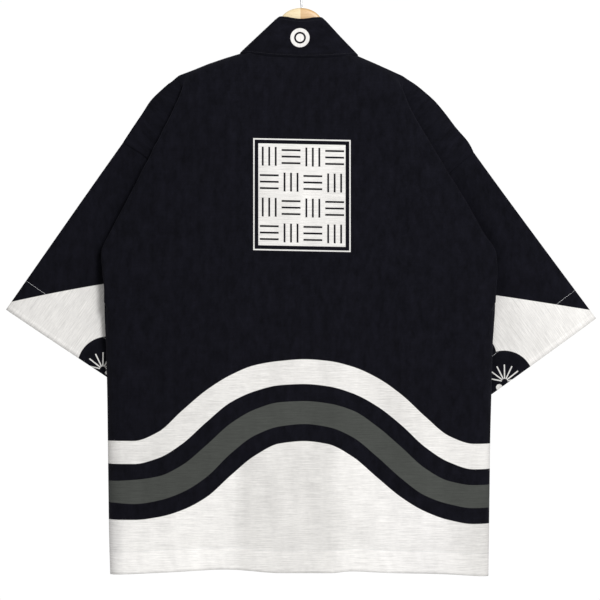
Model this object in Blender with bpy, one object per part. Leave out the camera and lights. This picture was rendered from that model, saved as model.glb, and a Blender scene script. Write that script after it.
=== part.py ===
"""A happi coat hanging on a wooden hanger, seen from the back. Metres, +Z up.

The back of the coat faces -Y. The origin is the inside top of the hanger's hook. The tables below are in
millimetres: across is measured from the middle of the back, outwards in a table for one side, and drop is
measured downwards from the level of the seam at the back of the neck.
"""

import math
from collections import namedtuple

import bmesh
import bpy
from mathutils import Vector

MM = 0.001

# Cloth
CLOTH = 1.5  # thickness of one cloth wall
COLLAR_CLOTH = 2.4  # the collar band is several layers thick
SEAM_GAP = 0.3  # between two pieces that are sewn together
EDGE = 0.95  # half the distance between back and front where they meet

# The coat as it hangs
BODY_LENGTH = 881  # back neck seam to hem
TOP_LEVEL = 40  # the first level of the tables, at the shoulder's outer end
EVEN_LEVEL = 300  # from here down the rows are level and no longer follow the shoulder
HEM_LEVEL = 760  # from here down they follow the hem
CORNER_START, CORNER_END = -195, -222  # across, where the left shoulder's corner is softened
CORNER_DROP, CORNER_RUN = 9, 26  # how far it droops, and over how many levels that fades
BODY_HALF_WIDTH = 325  # middle of the back to the side
HALF_DEPTH = 27  # half the thickness of the hanging body, at its middle
SIDE_DEPTH_SHARE = 0.78  # half depth near the sides, as a share of the middle's
NECK_DEPTH = 11  # how far the back neck seam lies behind the hanger's middle plane
NECK_HALF_WIDTH, NECK_ROUND = 102, 18  # and the width over which it comes forward to the shoulder
TOP_ROUND = 12  # how quickly the cloth rounds over the hanger
FRONT_SLOPE = 85  # width over which a front falls back to its side
TURN = 30  # width over which the back turns round to the side seam
TURN_LEVEL, TURN_RUN = 385, 90  # the armhole fold ends in a plain side from here, over this height

# The armhole fold
FOLD_MARGIN = 14  # from the panel's face to the fold's outer end
FOLD_ROUND = 3  # its round edges
FOLD_FORMS = 34  # height over which it forms at the shoulder
TUCK_DEPTH = 14.0  # how far behind the middle plane the folded cloth lies
UNDER_DEPTH_TOP, UNDER_DEPTH = 9.0, 6.5  # the layer under the fold, at the shoulder and lower down

# Sleeves
SLEEVE_HALF_DEPTH = 13  # half the opening at the cuff
ARMHOLE_HALF_DEPTH = 6.5
SLEEVE_FORWARD = 27  # how far the sleeve's lower edge swings in front of the body
UNDERARM_SHARE = 0.965  # how far down the armhole seam the sleeve's lower edge starts
SLEEVE_START = 0.8  # from the armhole seam to the sleeve's first ring
SWING_RUN = 0.3  # share of the sleeve's length over which it swings forward
RING_SQUARENESS = 0.7

# Hanger and hook
HANGER_MIDDLE = 3  # across
HANGER_TILT = 2.1  # degrees, its right arm hangs lower
HANGER_HALF_SPAN = 182
HANGER_THICKNESS = 10
ARM_SLOPE = math.tan(math.radians(20.9))
ARM_APEX_DROP = -38.7  # where the two arms' upper lines would meet
REST_GAP = 4.2  # from the cloth's middle surface to the wood
CROWN_HALF_WIDTH, CROWN_RISE = 38, 30.5
CROWN_TOP_DROP = -82.5
CROWN_FOOT = 17  # width over which the crown's side meets the arm
ARM_HEIGHT, ARM_TIP_HEIGHT = 46, 22
ARM_CREST = 30  # rounds the lower edge under the crown
WOOD_ROUND = 12  # length of the arms' rounded tips
WIRE = 3.6  # diameter of the hook's wire
HOOK_INNER_RADIUS = 19
HOOK_STEM = 37.5  # wire between the crown and the hook's ring
HOOK_START, HOOK_TURN = -62, 242  # degrees, where the ring starts and how far it goes round
HANG_HEIGHT = -CROWN_TOP_DROP + SEAM_GAP + HOOK_STEM + 2 * HOOK_INNER_RADIUS

NAVY = (0.020, 0.018, 0.032, 1)
WHITE = (0.80, 0.80, 0.78, 1)
BEECH = (0.72, 0.46, 0.24, 1)
STEEL = (0.60, 0.60, 0.62, 1)

# One row for each level of a side, from the shoulder down. fold is where the back's cloth doubles under,
# overlap is how far it runs back inwards below, and outer is where the under layer ends: at the outline as
# far as the sleeve's seam, then along that seam to the underarm, then at the side.
Side = namedtuple("Side", "level fold overlap outer")
LEFT = [
    Side(40, 190, 0, 222), Side(48, 191, 1, 228), Side(60, 196, 4, 238), Side(77, 203, 9, 254),
    Side(97, 214, 16, 267), Side(122, 228, 26, 284), Side(148, 241, 36, 301), Side(158, 247, 42, 284.5),
    Side(168, 251, 46, 268), Side(192, 264, 55, 241), Side(222, 279, 80, 222), Side(262, 300, 102, 212),
    Side(300, 320, 108, 228), Side(338, 336, 92, 264), Side(370, 334, 52, 292), Side(395, 331, 26, 308),
    Side(420, 329, 12, 318), Side(450, 327, 7, 322), Side(500, 326, 6, 324), Side(580, 325, 4, 324),
    Side(660, 325, 4, 324), Side(740, 325, 4, 324), Side(812, 324, 4, 323), Side(881, 322, 4, 321),
]
RIGHT = [
    Side(40, 160, 0, 186), Side(48, 164, 1, 198), Side(60, 173, 4, 213), Side(77, 182, 9, 232),
    Side(97, 192, 16, 249), Side(122, 206, 26, 268), Side(148, 222, 34, 290), Side(165, 232, 38, 299),
    Side(176, 239, 42, 285), Side(200, 253, 52, 257), Side(225, 269, 66, 232), Side(262, 291, 96, 212),
    Side(300, 312, 102, 228), Side(338, 335, 90, 264), Side(370, 337, 54, 292), Side(395, 335, 28, 309),
    Side(420, 332, 12, 320), Side(450, 328, 7, 323), Side(500, 326, 6, 325), Side(580, 325, 4, 324),
    Side(660, 325, 4, 324), Side(740, 325, 4, 324), Side(812, 324, 4, 323), Side(881, 323, 4, 322),
]

# The upper edge of the back: shoulder, neck seam, shoulder. Negative across is the left in the view.
Edge = namedtuple("Edge", "across drop")
TOP_EDGE = [
    Edge(-222, 40), Edge(-207, 34), Edge(-98, -3.0), Edge(-50, 1.7), Edge(0, 4.2), Edge(50, 3.5),
    Edge(98, 0.5), Edge(176.8, 34), Edge(186, 40),
]
HEM_EDGE = [
    Edge(-321, 884), Edge(-220, 879), Edge(-120, 874), Edge(-30, 880), Edge(55, 880), Edge(88, 877),
    Edge(155, 880), Edge(240, 882), Edge(322, 887),
]

# The armhole seam from the outline to the underarm, the line where a sleeve bends down, and its cuff
Seam = namedtuple("Seam", "across drop")
LEFT_ARMHOLE = [Seam(301, 148), Seam(268, 168), Seam(241, 192), Seam(222, 222), Seam(212, 262)]
RIGHT_ARMHOLE = [Seam(299, 165), Seam(285, 176), Seam(257, 200), Seam(232, 225), Seam(212, 262)]
LEFT_BEND = [Seam(361, 233), Seam(302, 324)]
RIGHT_BEND = [Seam(360, 251), Seam(302, 326)]
LEFT_CUFF = [Seam(500, 433), Seam(287, 573)]
RIGHT_CUFF = [Seam(501, 450), Seam(292, 597)]

# The collar band from the middle of the back, over the shoulder and down the front edge. in_* is the edge
# sewn to the coat, out_* the free edge. Depth is positive to the front.
Band = namedtuple("Band", "in_across in_drop in_depth out_across out_drop out_depth")
COLLAR = [
    Band(0, 2.8, -11, 0, -63, -9.5), Band(25, 2.3, -11, 12, -64, -9.5), Band(50, 1.3, -11, 24, -66, -9.2),
    Band(75, -1.0, -10.5, 33, -66.5, -8.5), Band(90, -4.0, -7.5, 37, -65.5, -6),
    Band(97, -6.5, -1.5, 39, -64, 0),
    Band(98, -5.0, 5, 39, -58, 6), Band(94, 6, 12, 36, -42, 12), Band(86, 33, 18, 28, -8, 19),
    Band(75, 85, 24, 16, 52, 25), Band(68, 145, 27, 7, 120, 29), Band(66, 210, 28, 4, 200, 31),
    Band(66, 300, 28, 4, 300, 31), Band(66, 400, 28, 4, 400, 31), Band(66, 520, 28, 4, 520, 31),
    Band(66, 640, 28, 4, 640, 31), Band(66, 760, 28, 4, 760, 31), Band(66, 879, 28, 4, 879, 31),
]
COLLAR_LEAN = 0.018  # the neck's right side hangs lower, for each millimetre across
COLLAR_SHIFT = 2.5  # and the free edge lies a little to the right
COLLAR_LEAN_RUN = 100  # both fade out over this drop
NECK_CORNER = 95  # across, where the neck seam crosses the shoulder

# The largest folds of the hanging cloth, each a soft ridge from one point to another, in the view
FOLDS_SETTLE = 60  # height below the shoulder over which they rise
Fold = namedtuple("Fold", "across drop to_across to_drop width height")
BACK_FOLDS = [
    Fold(-105, 20, -235, 330, 26, 3.2), Fold(-165, 45, -215, 150, 16, 2.6), Fold(-150, 200, -290, 300, 22, 2.4),
    Fold(105, 25, 240, 330, 26, 3.0), Fold(140, 45, 200, 150, 16, 2.2), Fold(120, 380, 300, 345, 24, 2.2),
    Fold(-80, 640, -110, 876, 26, 3.4), Fold(95, 660, 85, 876, 24, 2.6), Fold(-215, 760, -205, 876, 24, 2.0),
    Fold(215, 700, 230, 876, 28, 2.2),
]


def linear(rows, key, column, at):
    """The value of column where the column key has the value at, on straight lines between the rows."""
    low, high = rows[0], rows[-1]
    if at <= getattr(low, key):
        return getattr(low, column)
    for low, high in zip(rows, rows[1:]):
        start, end = getattr(low, key), getattr(high, key)
        if at <= end:
            share = (at - start) / (end - start)
            return getattr(low, column) * (1 - share) + getattr(high, column) * share
    return getattr(high, column)


def smooth(share):
    share = min(1.0, max(0.0, share))
    return share * share * (3 - 2 * share)


def mix(a, b, share):
    return a * (1 - share) + b * share


def place(across, drop, depth):
    """A point of the coat in the model's own frame."""
    return Vector((across - HANGER_MIDDLE, depth, -HANG_HEIGHT - drop)) * MM


def remove_everything():
    for thing in list(bpy.data.objects):
        bpy.data.objects.remove(thing)


def material(name, colour, roughness, metallic=0.0):
    made = bpy.data.materials.new(name)
    made.use_nodes = True
    shader = made.node_tree.nodes["Principled BSDF"]
    shader.inputs["Base Color"].default_value = colour
    shader.inputs["Roughness"].default_value = roughness
    shader.inputs["Metallic"].default_value = metallic
    return made


def solid(name, corners, faces, finish, angle=40):
    """One named object from closed faces, turned outwards and shaded smooth."""
    mesh = bpy.data.meshes.new(name)
    mesh.from_pydata(corners, [], faces)
    shape = bmesh.new()
    shape.from_mesh(mesh)
    bmesh.ops.recalc_face_normals(shape, faces=shape.faces)
    shape.to_mesh(mesh)
    shape.free()
    mesh.shade_smooth()
    mesh.set_sharp_from_angle(angle=math.radians(angle))
    mesh.materials.append(finish)
    made = bpy.data.objects.new(name, mesh)
    bpy.context.scene.collection.objects.link(made)
    return made


def surface_normals(grid, ring):
    """The normal at each point of a grid of rows, from the faces round it, lengthened where they turn."""
    rows, count = len(grid), len(grid[0])
    around = [[[] for _ in range(count)] for _ in range(rows)]
    for r in range(rows - 1):
        for c in range(count if ring else count - 1):
            turn = (c + 1) % count
            down = grid[r + 1][turn] - grid[r][c]
            across = grid[r][turn] - grid[r + 1][c]
            normal = down.cross(across).normalized()
            for y, x in ((r, c), (r, turn), (r + 1, c), (r + 1, turn)):
                around[y][x].append(normal)
    normals = []
    for line in around:
        row = []
        for faces in line:
            normal = sum(faces, Vector()).normalized()
            spread = sum(normal.dot(face) for face in faces) / len(faces)
            row.append(normal / max(spread, 0.75))
        normals.append(row)
    return normals


def cloth_wall(name, grid, finish, thickness=CLOTH, ring=False):
    """A closed wall of even thickness, half on each side of a grid of points."""
    rows, count = len(grid), len(grid[0])
    normals = surface_normals(grid, ring)
    half = thickness / 2 * MM
    corners = []
    for side in (half, -half):
        for row, line in zip(grid, normals):
            corners += [point + normal * side for point, normal in zip(row, line)]
    inner = rows * count

    def at(r, c, layer):
        return layer * inner + r * count + c % count

    steps = count if ring else count - 1
    faces = []
    for r in range(rows - 1):
        for c in range(steps):
            faces.append((at(r, c, 0), at(r, c + 1, 0), at(r + 1, c + 1, 0), at(r + 1, c, 0)))
            faces.append((at(r, c, 1), at(r + 1, c, 1), at(r + 1, c + 1, 1), at(r, c + 1, 1)))
    for c in range(steps):
        faces.append((at(0, c, 0), at(0, c, 1), at(0, c + 1, 1), at(0, c + 1, 0)))
        faces.append((at(rows - 1, c, 0), at(rows - 1, c + 1, 0), at(rows - 1, c + 1, 1), at(rows - 1, c, 1)))
    if not ring:
        for r in range(rows - 1):
            faces.append((at(r, 0, 0), at(r + 1, 0, 0), at(r + 1, 0, 1), at(r, 0, 1)))
            end = count - 1
            faces.append((at(r, end, 0), at(r, end, 1), at(r + 1, end, 1), at(r + 1, end, 0)))
    return solid(name, corners, faces, finish)


def ring_solid(name, rings, finish, angle=40):
    """A solid through closed rings of equal length, with a flat cap on each end."""
    count = len(rings[0])
    corners = [point for ring in rings for point in ring]
    faces = [tuple(range(count)), tuple(range(len(corners) - count, len(corners)))]
    for r in range(len(rings) - 1):
        for c in range(count):
            turn = (c + 1) % count
            faces.append((r * count + c, r * count + turn, (r + 1) * count + turn, (r + 1) * count + c))
    return solid(name, corners, faces, finish, angle)


def fold_height(across, drop):
    """How far the largest folds lift the back at a point."""
    height = 0.0
    for fold in BACK_FOLDS:
        run = (fold.to_across - fold.across, fold.to_drop - fold.drop)
        away = (across - fold.across, drop - fold.drop)
        length = math.hypot(*run)
        share = (away[0] * run[0] + away[1] * run[1]) / length**2
        aside = (away[0] * run[1] - away[1] * run[0]) / length
        fade = smooth(share / 0.2 + 0.2) * smooth((1 - share) / 0.3 + (0.3 if fold.to_drop > 870 else 0))
        height += fold.height * fade * math.exp(-((aside / fold.width) ** 2))
    return height


def upper_share(level):
    """How far a row still follows the shoulder's line: all at the top, nothing from the even level down."""
    return 1 - smooth((level - TOP_LEVEL) / (EVEN_LEVEL - TOP_LEVEL))


def corner_droop(across, level):
    """How much lower the left shoulder's soft corner lies than two straight edges would meet."""
    fade = max(0, 1 - (level - TOP_LEVEL) / CORNER_RUN) ** 1.5
    return CORNER_DROP * smooth((CORNER_START - across) / (CORNER_START - CORNER_END)) * fade


def row_drop(across, level):
    """The drop of a row at a point across: the upper edge's line, levelling out further down."""
    top = linear(TOP_EDGE, "across", "drop", across)
    drop = level + (top - TOP_LEVEL) * upper_share(level) + corner_droop(across, level)
    hem = linear(HEM_EDGE, "across", "drop", across) - BODY_LENGTH
    return drop + hem * smooth((level - HEM_LEVEL) / (BODY_LENGTH - HEM_LEVEL))


def body_depth(across, level, top_depth):
    """Half the body's depth at a point: nothing at the shoulder, round over the hanger, full below."""
    below = row_drop(across, level) - row_drop(across, TOP_LEVEL)
    full = HALF_DEPTH * mix(1, SIDE_DEPTH_SHARE, (across / BODY_HALF_WIDTH) ** 2)
    return mix(top_depth, full, 1 - math.exp(-below / TOP_ROUND))


def back_depth(across, level):
    neck = smooth((NECK_HALF_WIDTH - abs(across)) / NECK_ROUND)
    depth = body_depth(across, level, mix(EDGE, NECK_DEPTH, neck))
    settled = smooth((level - TOP_LEVEL) / FOLDS_SETTLE)
    return depth + fold_height(across, row_drop(across, level)) * settled


def armhole_share(side, level):
    """How far along the armhole seam a level is, from 0 at the outline to 1 at the underarm, or None."""
    seam = LEFT_ARMHOLE if side is LEFT else RIGHT_ARMHOLE
    if not seam[0].drop <= level <= seam[-1].drop:
        return None
    lengths = [0.0]
    for a, b in zip(seam, seam[1:]):
        lengths.append(lengths[-1] + math.hypot(b.across - a.across, b.drop - a.drop))
    for k, (a, b) in enumerate(zip(seam, seam[1:])):
        if level <= b.drop:
            share = (level - a.drop) / (b.drop - a.drop)
            return mix(lengths[k], lengths[k + 1], share) / lengths[-1]
    return 1.0


def rounded(level):
    """How far a side has turned from the armhole fold into a plain rounded side."""
    return smooth((level - TURN_LEVEL) / TURN_RUN)


def edge_depth(side, level):
    """Half the distance between back and front where the under layer ends."""
    share = armhole_share(side, level)
    if share is None:
        return EDGE
    width = 2 * math.sqrt(share * (1 - share))
    return max(EDGE, ARMHOLE_HALF_DEPTH * width**RING_SQUARENESS)


def fold_path(side, sign, row):
    """Points across one level of the back from the panel's face, round the fold, to where it ends."""
    start = row.fold - FOLD_MARGIN
    face = back_depth(sign * start, row.level)
    under = mix(UNDER_DEPTH_TOP, UNDER_DEPTH, smooth((row.level - 90) / 60))
    edge = edge_depth(side, row.level)
    inner = row.fold - max(row.overlap, 2 * FOLD_ROUND)
    tucked = min(TUCK_DEPTH, mix(face, under, 0.5))
    doubled = [
        (start, face), (row.fold - FOLD_ROUND, face - 0.8), (row.fold, mix(face, tucked, 0.5)),
        (row.fold - FOLD_ROUND, tucked), (inner + FOLD_ROUND, tucked - 0.6), (inner, mix(tucked, under, 0.5)),
        (inner + FOLD_ROUND, under), (mix(inner + FOLD_ROUND, row.outer, 0.6), mix(under, edge, 0.15)),
        (row.outer, edge),
    ]
    last = len(doubled) - 1
    flat = [(mix(start, row.outer, k / last), mix(face, edge, k / last)) for k in range(last + 1)]
    turn_start = row.fold - TURN
    turn_face = back_depth(sign * turn_start, row.level)
    turned = []
    for k in range(last + 1):
        angle = math.pi / 2 * k / last
        turned.append((turn_start + TURN * math.sin(angle), mix(EDGE, turn_face, math.cos(angle))))
    formed = smooth((row.level - TOP_LEVEL) / FOLD_FORMS)
    path = []
    for k in range(last + 1):
        across, depth = (mix(flat[k][n], doubled[k][n], formed) for n in (0, 1))
        turn = rounded(row.level)
        path.append((mix(across, turned[k][0], turn), mix(depth, turned[k][1], turn)))
    return [place(sign * across, row_drop(sign * across, row.level), -depth) for across, depth in path]


def back_grid(columns=20):
    """The back: the left fold's path, the panel's face and the right fold's path, level by level."""
    grid = []
    for left, right in zip(LEFT, RIGHT):
        left_path = fold_path(LEFT, -1, left)
        right_path = fold_path(RIGHT, 1, right)
        start = left_path[0].x / MM + HANGER_MIDDLE
        end = right_path[0].x / MM + HANGER_MIDDLE
        face = []
        for c in range(1, columns):
            across = mix(start, end, c / columns)
            face.append(place(across, row_drop(across, left.level), -back_depth(across, left.level)))
        grid.append(left_path[::-1] + face + right_path)
    return grid


def front_grid(side, sign, columns=9):
    """A front: from the collar's seam to the shoulder, the armhole seam and the side."""
    seam = [band for band in COLLAR if band.in_depth > 0]
    inner_top = linear(TOP_EDGE, "across", "drop", sign * NECK_CORNER)
    grid = []
    for row in side:
        level = row.level
        at = level + (inner_top - TOP_LEVEL) * upper_share(level)
        unleaned = at - COLLAR_LEAN * sign * NECK_CORNER * smooth(1 - at / COLLAR_LEAN_RUN)
        inner = linear(seam, "in_drop", "in_across", unleaned) + SEAM_GAP
        outer = mix(row.outer, row.fold, rounded(level))
        edge = edge_depth(side, level)
        line = []
        for c in range(columns + 1):
            across = mix(inner, outer, (c / columns) ** 0.8)
            full = body_depth(sign * across, level, EDGE)
            share = math.sin(math.pi / 2 * min(1.0, (outer - across) / FRONT_SLOPE))
            depth = mix(edge, max(full, edge), share)
            line.append(place(sign * across, row_drop(sign * across, level), depth))
        grid.append(line)
    return grid


def between(line, share):
    """A point part of the way along a line of two seam points."""
    return mix(line[0].across, line[1].across, share), mix(line[0].drop, line[1].drop, share)


def sleeve_grid(side, sign, rings=10, around=26):
    """A sleeve: flattened rings from the armhole seam, over the bend, to the cuff, swinging forward."""
    seam, bend, cuff = (
        (LEFT_ARMHOLE, LEFT_BEND, LEFT_CUFF) if side is LEFT else (RIGHT_ARMHOLE, RIGHT_BEND, RIGHT_CUFF)
    )
    Mark = namedtuple("Mark", "share across drop")
    marks = [Mark(armhole_share(side, point.drop), point.across, point.drop) for point in seam]
    grid = []
    for r in range(rings + 1):
        along = (r / rings) ** 1.2
        swing = SLEEVE_FORWARD * math.sin(math.pi / 2 * min(1.0, along / SWING_RUN))
        half = mix(ARMHOLE_HALF_DEPTH, SLEEVE_HALF_DEPTH, smooth(along))
        ring = []
        for k in range(around):
            angle = 2 * math.pi * k / around
            share = (1 - math.cos(angle)) / 2
            held = mix(0.004, UNDERARM_SHARE, share)
            start = (linear(marks, "share", "across", held), linear(marks, "share", "drop", held))
            middle, end = between(bend, share), between(cuff, share)
            from_seam = SLEEVE_START / math.dist(start, middle)
            along_here = mix(from_seam / 2, 1, along)
            point = []
            for n in (0, 1):
                first, second = mix(start[n], middle[n], along_here), mix(middle[n], end[n], along_here)
                point.append(mix(first, second, along_here))
            bulge = math.copysign(abs(math.sin(angle)) ** RING_SQUARENESS, math.sin(angle)) * half
            depth = swing * share - bulge
            ring.append(place(sign * point[0], point[1], depth))
        grid.append(ring)
    return grid


def collar_grid():
    """The collar band from one hem, round the neck, to the other hem."""
    steps = 4
    grid = []
    for sign, bands in ((-1, COLLAR[::-1]), (1, COLLAR[1:])):
        for band in bands:
            ends = []
            for shift, (across, drop, depth) in ((0, band[:3]), (COLLAR_SHIFT, band[3:])):
                upper = smooth(1 - drop / COLLAR_LEAN_RUN)
                lean = COLLAR_LEAN * sign * across * upper
                ends.append(place(sign * across + shift * upper, drop + lean, depth))
            grid.append([ends[0].lerp(ends[1], k / steps) for k in range(steps + 1)])
    return grid


def hanger_top(x):
    """The drop of the hanger's upper edge, x from its middle: two sloping arms and a round crown."""
    arm = ARM_APEX_DROP + REST_GAP + ARM_SLOPE * abs(x)
    side = CROWN_TOP_DROP + CROWN_RISE
    if abs(x) >= CROWN_HALF_WIDTH:
        return mix(side, arm, smooth((abs(x) - CROWN_HALF_WIDTH) / CROWN_FOOT))
    return side - CROWN_RISE * math.sqrt(1 - (x / CROWN_HALF_WIDTH) ** 2)


def build_hanger(wood, around=12):
    """A flat wooden hanger: rounded upright sections along its length, its right arm a little lower."""
    crown = [-57, -52, -47, -42, -38, -36.5, -32, -24, -12]
    arm = [-HANGER_HALF_SPAN, -HANGER_HALF_SPAN + 4, -HANGER_HALF_SPAN + 14, -150, -115, -80]
    stations = arm + crown
    stations = stations + [0] + [-x for x in stations[::-1]]
    tilt = math.radians(HANGER_TILT)
    rings = []
    for x in stations:
        tip = min(1.0, (HANGER_HALF_SPAN + 2 - abs(x)) / WOOD_ROUND) ** 0.5
        top = hanger_top(x)
        tall = mix(ARM_TIP_HEIGHT, ARM_HEIGHT, smooth(1 - abs(x) / HANGER_HALF_SPAN))
        bottom = ARM_APEX_DROP + REST_GAP + ARM_SLOPE * math.hypot(x, ARM_CREST) + tall
        middle, reach = (top + bottom) / 2, (bottom - top) / 2 * tip
        half = HANGER_THICKNESS / 2 * tip
        ring = []
        for k in range(around):
            angle = 2 * math.pi * (k + 0.5) / around
            side = math.copysign(abs(math.cos(angle)) ** 0.6, math.cos(angle)) * half
            up = math.copysign(abs(math.sin(angle)) ** 0.5, math.sin(angle)) * reach
            drop = middle - up - ARM_APEX_DROP
            turned_x = x * math.cos(tilt) - drop * math.sin(tilt)
            turned_drop = x * math.sin(tilt) + drop * math.cos(tilt) + ARM_APEX_DROP
            ring.append(place(HANGER_MIDDLE + turned_x, turned_drop, side))
        rings.append(ring)
    return ring_solid("hanger", rings, wood)


def build_hook(steel, around=10):
    """The hook: a straight stem and most of a circle of steel wire, open to one side."""
    radius = HOOK_INNER_RADIUS + WIRE / 2
    lean = (CROWN_TOP_DROP - ARM_APEX_DROP) * math.sin(math.radians(HANGER_TILT))
    bottom = Vector((-lean, 0, -HANG_HEIGHT - CROWN_TOP_DROP - SEAM_GAP))
    eye = Vector((0, 0, -HOOK_INNER_RADIUS))
    route = [bottom, bottom.lerp(Vector((0, 0, eye.z - radius - 8)), 0.55)]
    route += [Vector((0, 0, eye.z - radius - 6)), Vector((5, 0, eye.z - radius - 0.5))]
    for k in range(15):
        angle = math.radians(HOOK_START + HOOK_TURN * k / 14)
        route.append(eye + Vector((radius * math.cos(angle), 0, radius * math.sin(angle))))
    rings = []
    for k, point in enumerate(route):
        ahead = route[min(k + 1, len(route) - 1)] - route[max(k - 1, 0)]
        along = ahead.normalized()
        side = Vector((0, 1, 0))
        up = side.cross(along)
        ring = []
        for n in range(around):
            angle = 2 * math.pi * n / around
            ring.append((point + (side * math.cos(angle) + up * math.sin(angle)) * WIRE / 2) * MM)
        rings.append(ring)
    return ring_solid("hook", rings, steel)


def build_coat():
    navy = material("navy_cotton", NAVY, 0.9)
    cloth_wall("back", back_grid(), navy)
    cloth_wall("front_left", front_grid(LEFT, -1), material("navy_front_left", NAVY, 0.9))
    cloth_wall("front_right", front_grid(RIGHT, 1), material("navy_front_right", NAVY, 0.9))
    cloth_wall("sleeve_left", sleeve_grid(LEFT, -1), material("sleeve_left_cotton", WHITE, 0.9), ring=True)
    cloth_wall("sleeve_right", sleeve_grid(RIGHT, 1), material("sleeve_right_cotton", WHITE, 0.9), ring=True)
    cloth_wall("collar", collar_grid(), material("collar_cotton", NAVY, 0.9), COLLAR_CLOTH)


remove_everything()
build_coat()
build_hanger(material("beech", BEECH, 0.5))
build_hook(material("steel", STEEL, 0.3, 1.0))
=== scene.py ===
"""A short cotton happi coat on a wooden hanger, seen from the back, as it hangs in a shop's photograph.

The sections follow the order of making and hanging: the wooden hanger and its hook, the body with its
printed back, the two fronts, the sleeves, the collar band, the sewing, and last the studio.
In the tables across is in millimetres from the middle of the back and drop is downwards from the neck seam.
"""

import math
from bisect import bisect_right
from collections import namedtuple

import bmesh
import bpy
import numpy as np
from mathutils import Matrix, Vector


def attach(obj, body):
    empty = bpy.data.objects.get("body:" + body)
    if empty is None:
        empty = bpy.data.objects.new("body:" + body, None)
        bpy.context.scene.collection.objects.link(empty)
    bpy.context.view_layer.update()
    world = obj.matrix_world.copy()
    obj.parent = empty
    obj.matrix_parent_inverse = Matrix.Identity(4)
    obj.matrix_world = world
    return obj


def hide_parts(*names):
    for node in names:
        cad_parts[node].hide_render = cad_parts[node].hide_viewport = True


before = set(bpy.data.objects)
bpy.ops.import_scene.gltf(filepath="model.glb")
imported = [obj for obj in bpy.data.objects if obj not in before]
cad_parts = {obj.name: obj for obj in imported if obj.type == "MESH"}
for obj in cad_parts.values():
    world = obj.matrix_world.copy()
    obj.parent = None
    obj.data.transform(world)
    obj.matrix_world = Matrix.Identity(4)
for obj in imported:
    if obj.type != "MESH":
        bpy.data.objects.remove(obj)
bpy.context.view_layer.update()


# The hanger
# A flat beech hanger, sawn from a board and sanded round, clear satin lacquer. Its crown shows above the
# collar. The hook is screwed into the crown.

MM = 0.001
HANGER_MIDDLE = 3
HANGER_TILT = math.radians(2.1)
HALF_SPAN, BOARD = 182, 10
ARM_SLOPE = math.tan(math.radians(20.9))
ARM_APEX, UNDER_CLOTH = -38.7, 4.2
TIP_TALL, MIDDLE_TALL, UNDER_ROUND, TIP_ROUND = 22, 46, 30, 12
CROWN_TOP, CROWN_HALF, CROWN_RISE, CROWN_FOOT = -82.5, 38, 30.5, 17
AROUND_BOARD, FACE_FLAT, EDGE_FLAT = 28, 0.6, 0.5
HANG_HEIGHT = 158.3


def smooth(share):
    share = min(1.0, max(0.0, share))
    return share * share * (3 - 2 * share)


def mix(a, b, share):
    return a * (1 - share) + b * share


def place(across, drop, depth):
    return ((across - HANGER_MIDDLE) * MM, depth * MM, (-HANG_HEIGHT - drop) * MM)


def colour(code):
    """A hex colour as linear red, green, blue and alpha."""
    parts = [int(code[k : k + 2], 16) / 255 for k in (1, 3, 5)]
    return [p / 12.92 if p <= 0.04045 else ((p + 0.055) / 1.055) ** 2.4 for p in parts] + [1.0]


def add(tree, kind, links=None, **settings):
    """A new node with its settings, its inputs linked to sockets or set to values."""
    made = tree.nodes.new(kind)
    for key, value in settings.items():
        setattr(made, key, value)
    for key, source in (links or {}).items():
        if isinstance(source, bpy.types.NodeSocket):
            tree.links.new(source, made.inputs[key])
        else:
            made.inputs[key].default_value = source
    return made


def start_material(name):
    """An empty surface: its material, its tree and its shader."""
    made = bpy.data.materials.new(name)
    made.use_nodes = True
    tree = made.node_tree
    return made, tree, tree.nodes["Principled BSDF"]


def closed_piece(name, corners, faces, finish):
    """A named piece in one smooth mesh, its faces outwards, riding on the coat's one body."""
    mesh = bpy.data.meshes.new(name)
    mesh.from_pydata([tuple(corner) for corner in corners], [], [tuple(face) for face in faces])
    shape = bmesh.new()
    shape.from_mesh(mesh)
    bmesh.ops.recalc_face_normals(shape, faces=shape.faces)
    shape.to_mesh(mesh)
    shape.free()
    mesh.shade_smooth()
    mesh.materials.append(finish)
    made = bpy.data.objects.new(name, mesh)
    bpy.context.scene.collection.objects.link(made)
    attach(made, "root")
    return made


def rod(name, rings, finish):
    """A closed solid through rings of points, with a cap on each end."""
    count = len(rings[0])
    corners = [point for ring in rings for point in ring]
    faces = [range(count), range(len(corners) - count, len(corners))]
    for r in range(len(rings) - 1):
        for c in range(count):
            turn = (c + 1) % count
            faces.append((r * count + c, r * count + turn, (r + 1) * count + turn, (r + 1) * count + c))
    made = closed_piece(name, corners, faces, finish)
    made.data.set_sharp_from_angle(angle=math.radians(50))
    return made


def board_top(x):
    arm = ARM_APEX + UNDER_CLOTH + ARM_SLOPE * abs(x)
    side = CROWN_TOP + CROWN_RISE
    if abs(x) >= CROWN_HALF:
        return mix(side, arm, smooth((abs(x) - CROWN_HALF) / CROWN_FOOT))
    return side - CROWN_RISE * math.sqrt(1 - (x / CROWN_HALF) ** 2)


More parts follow.
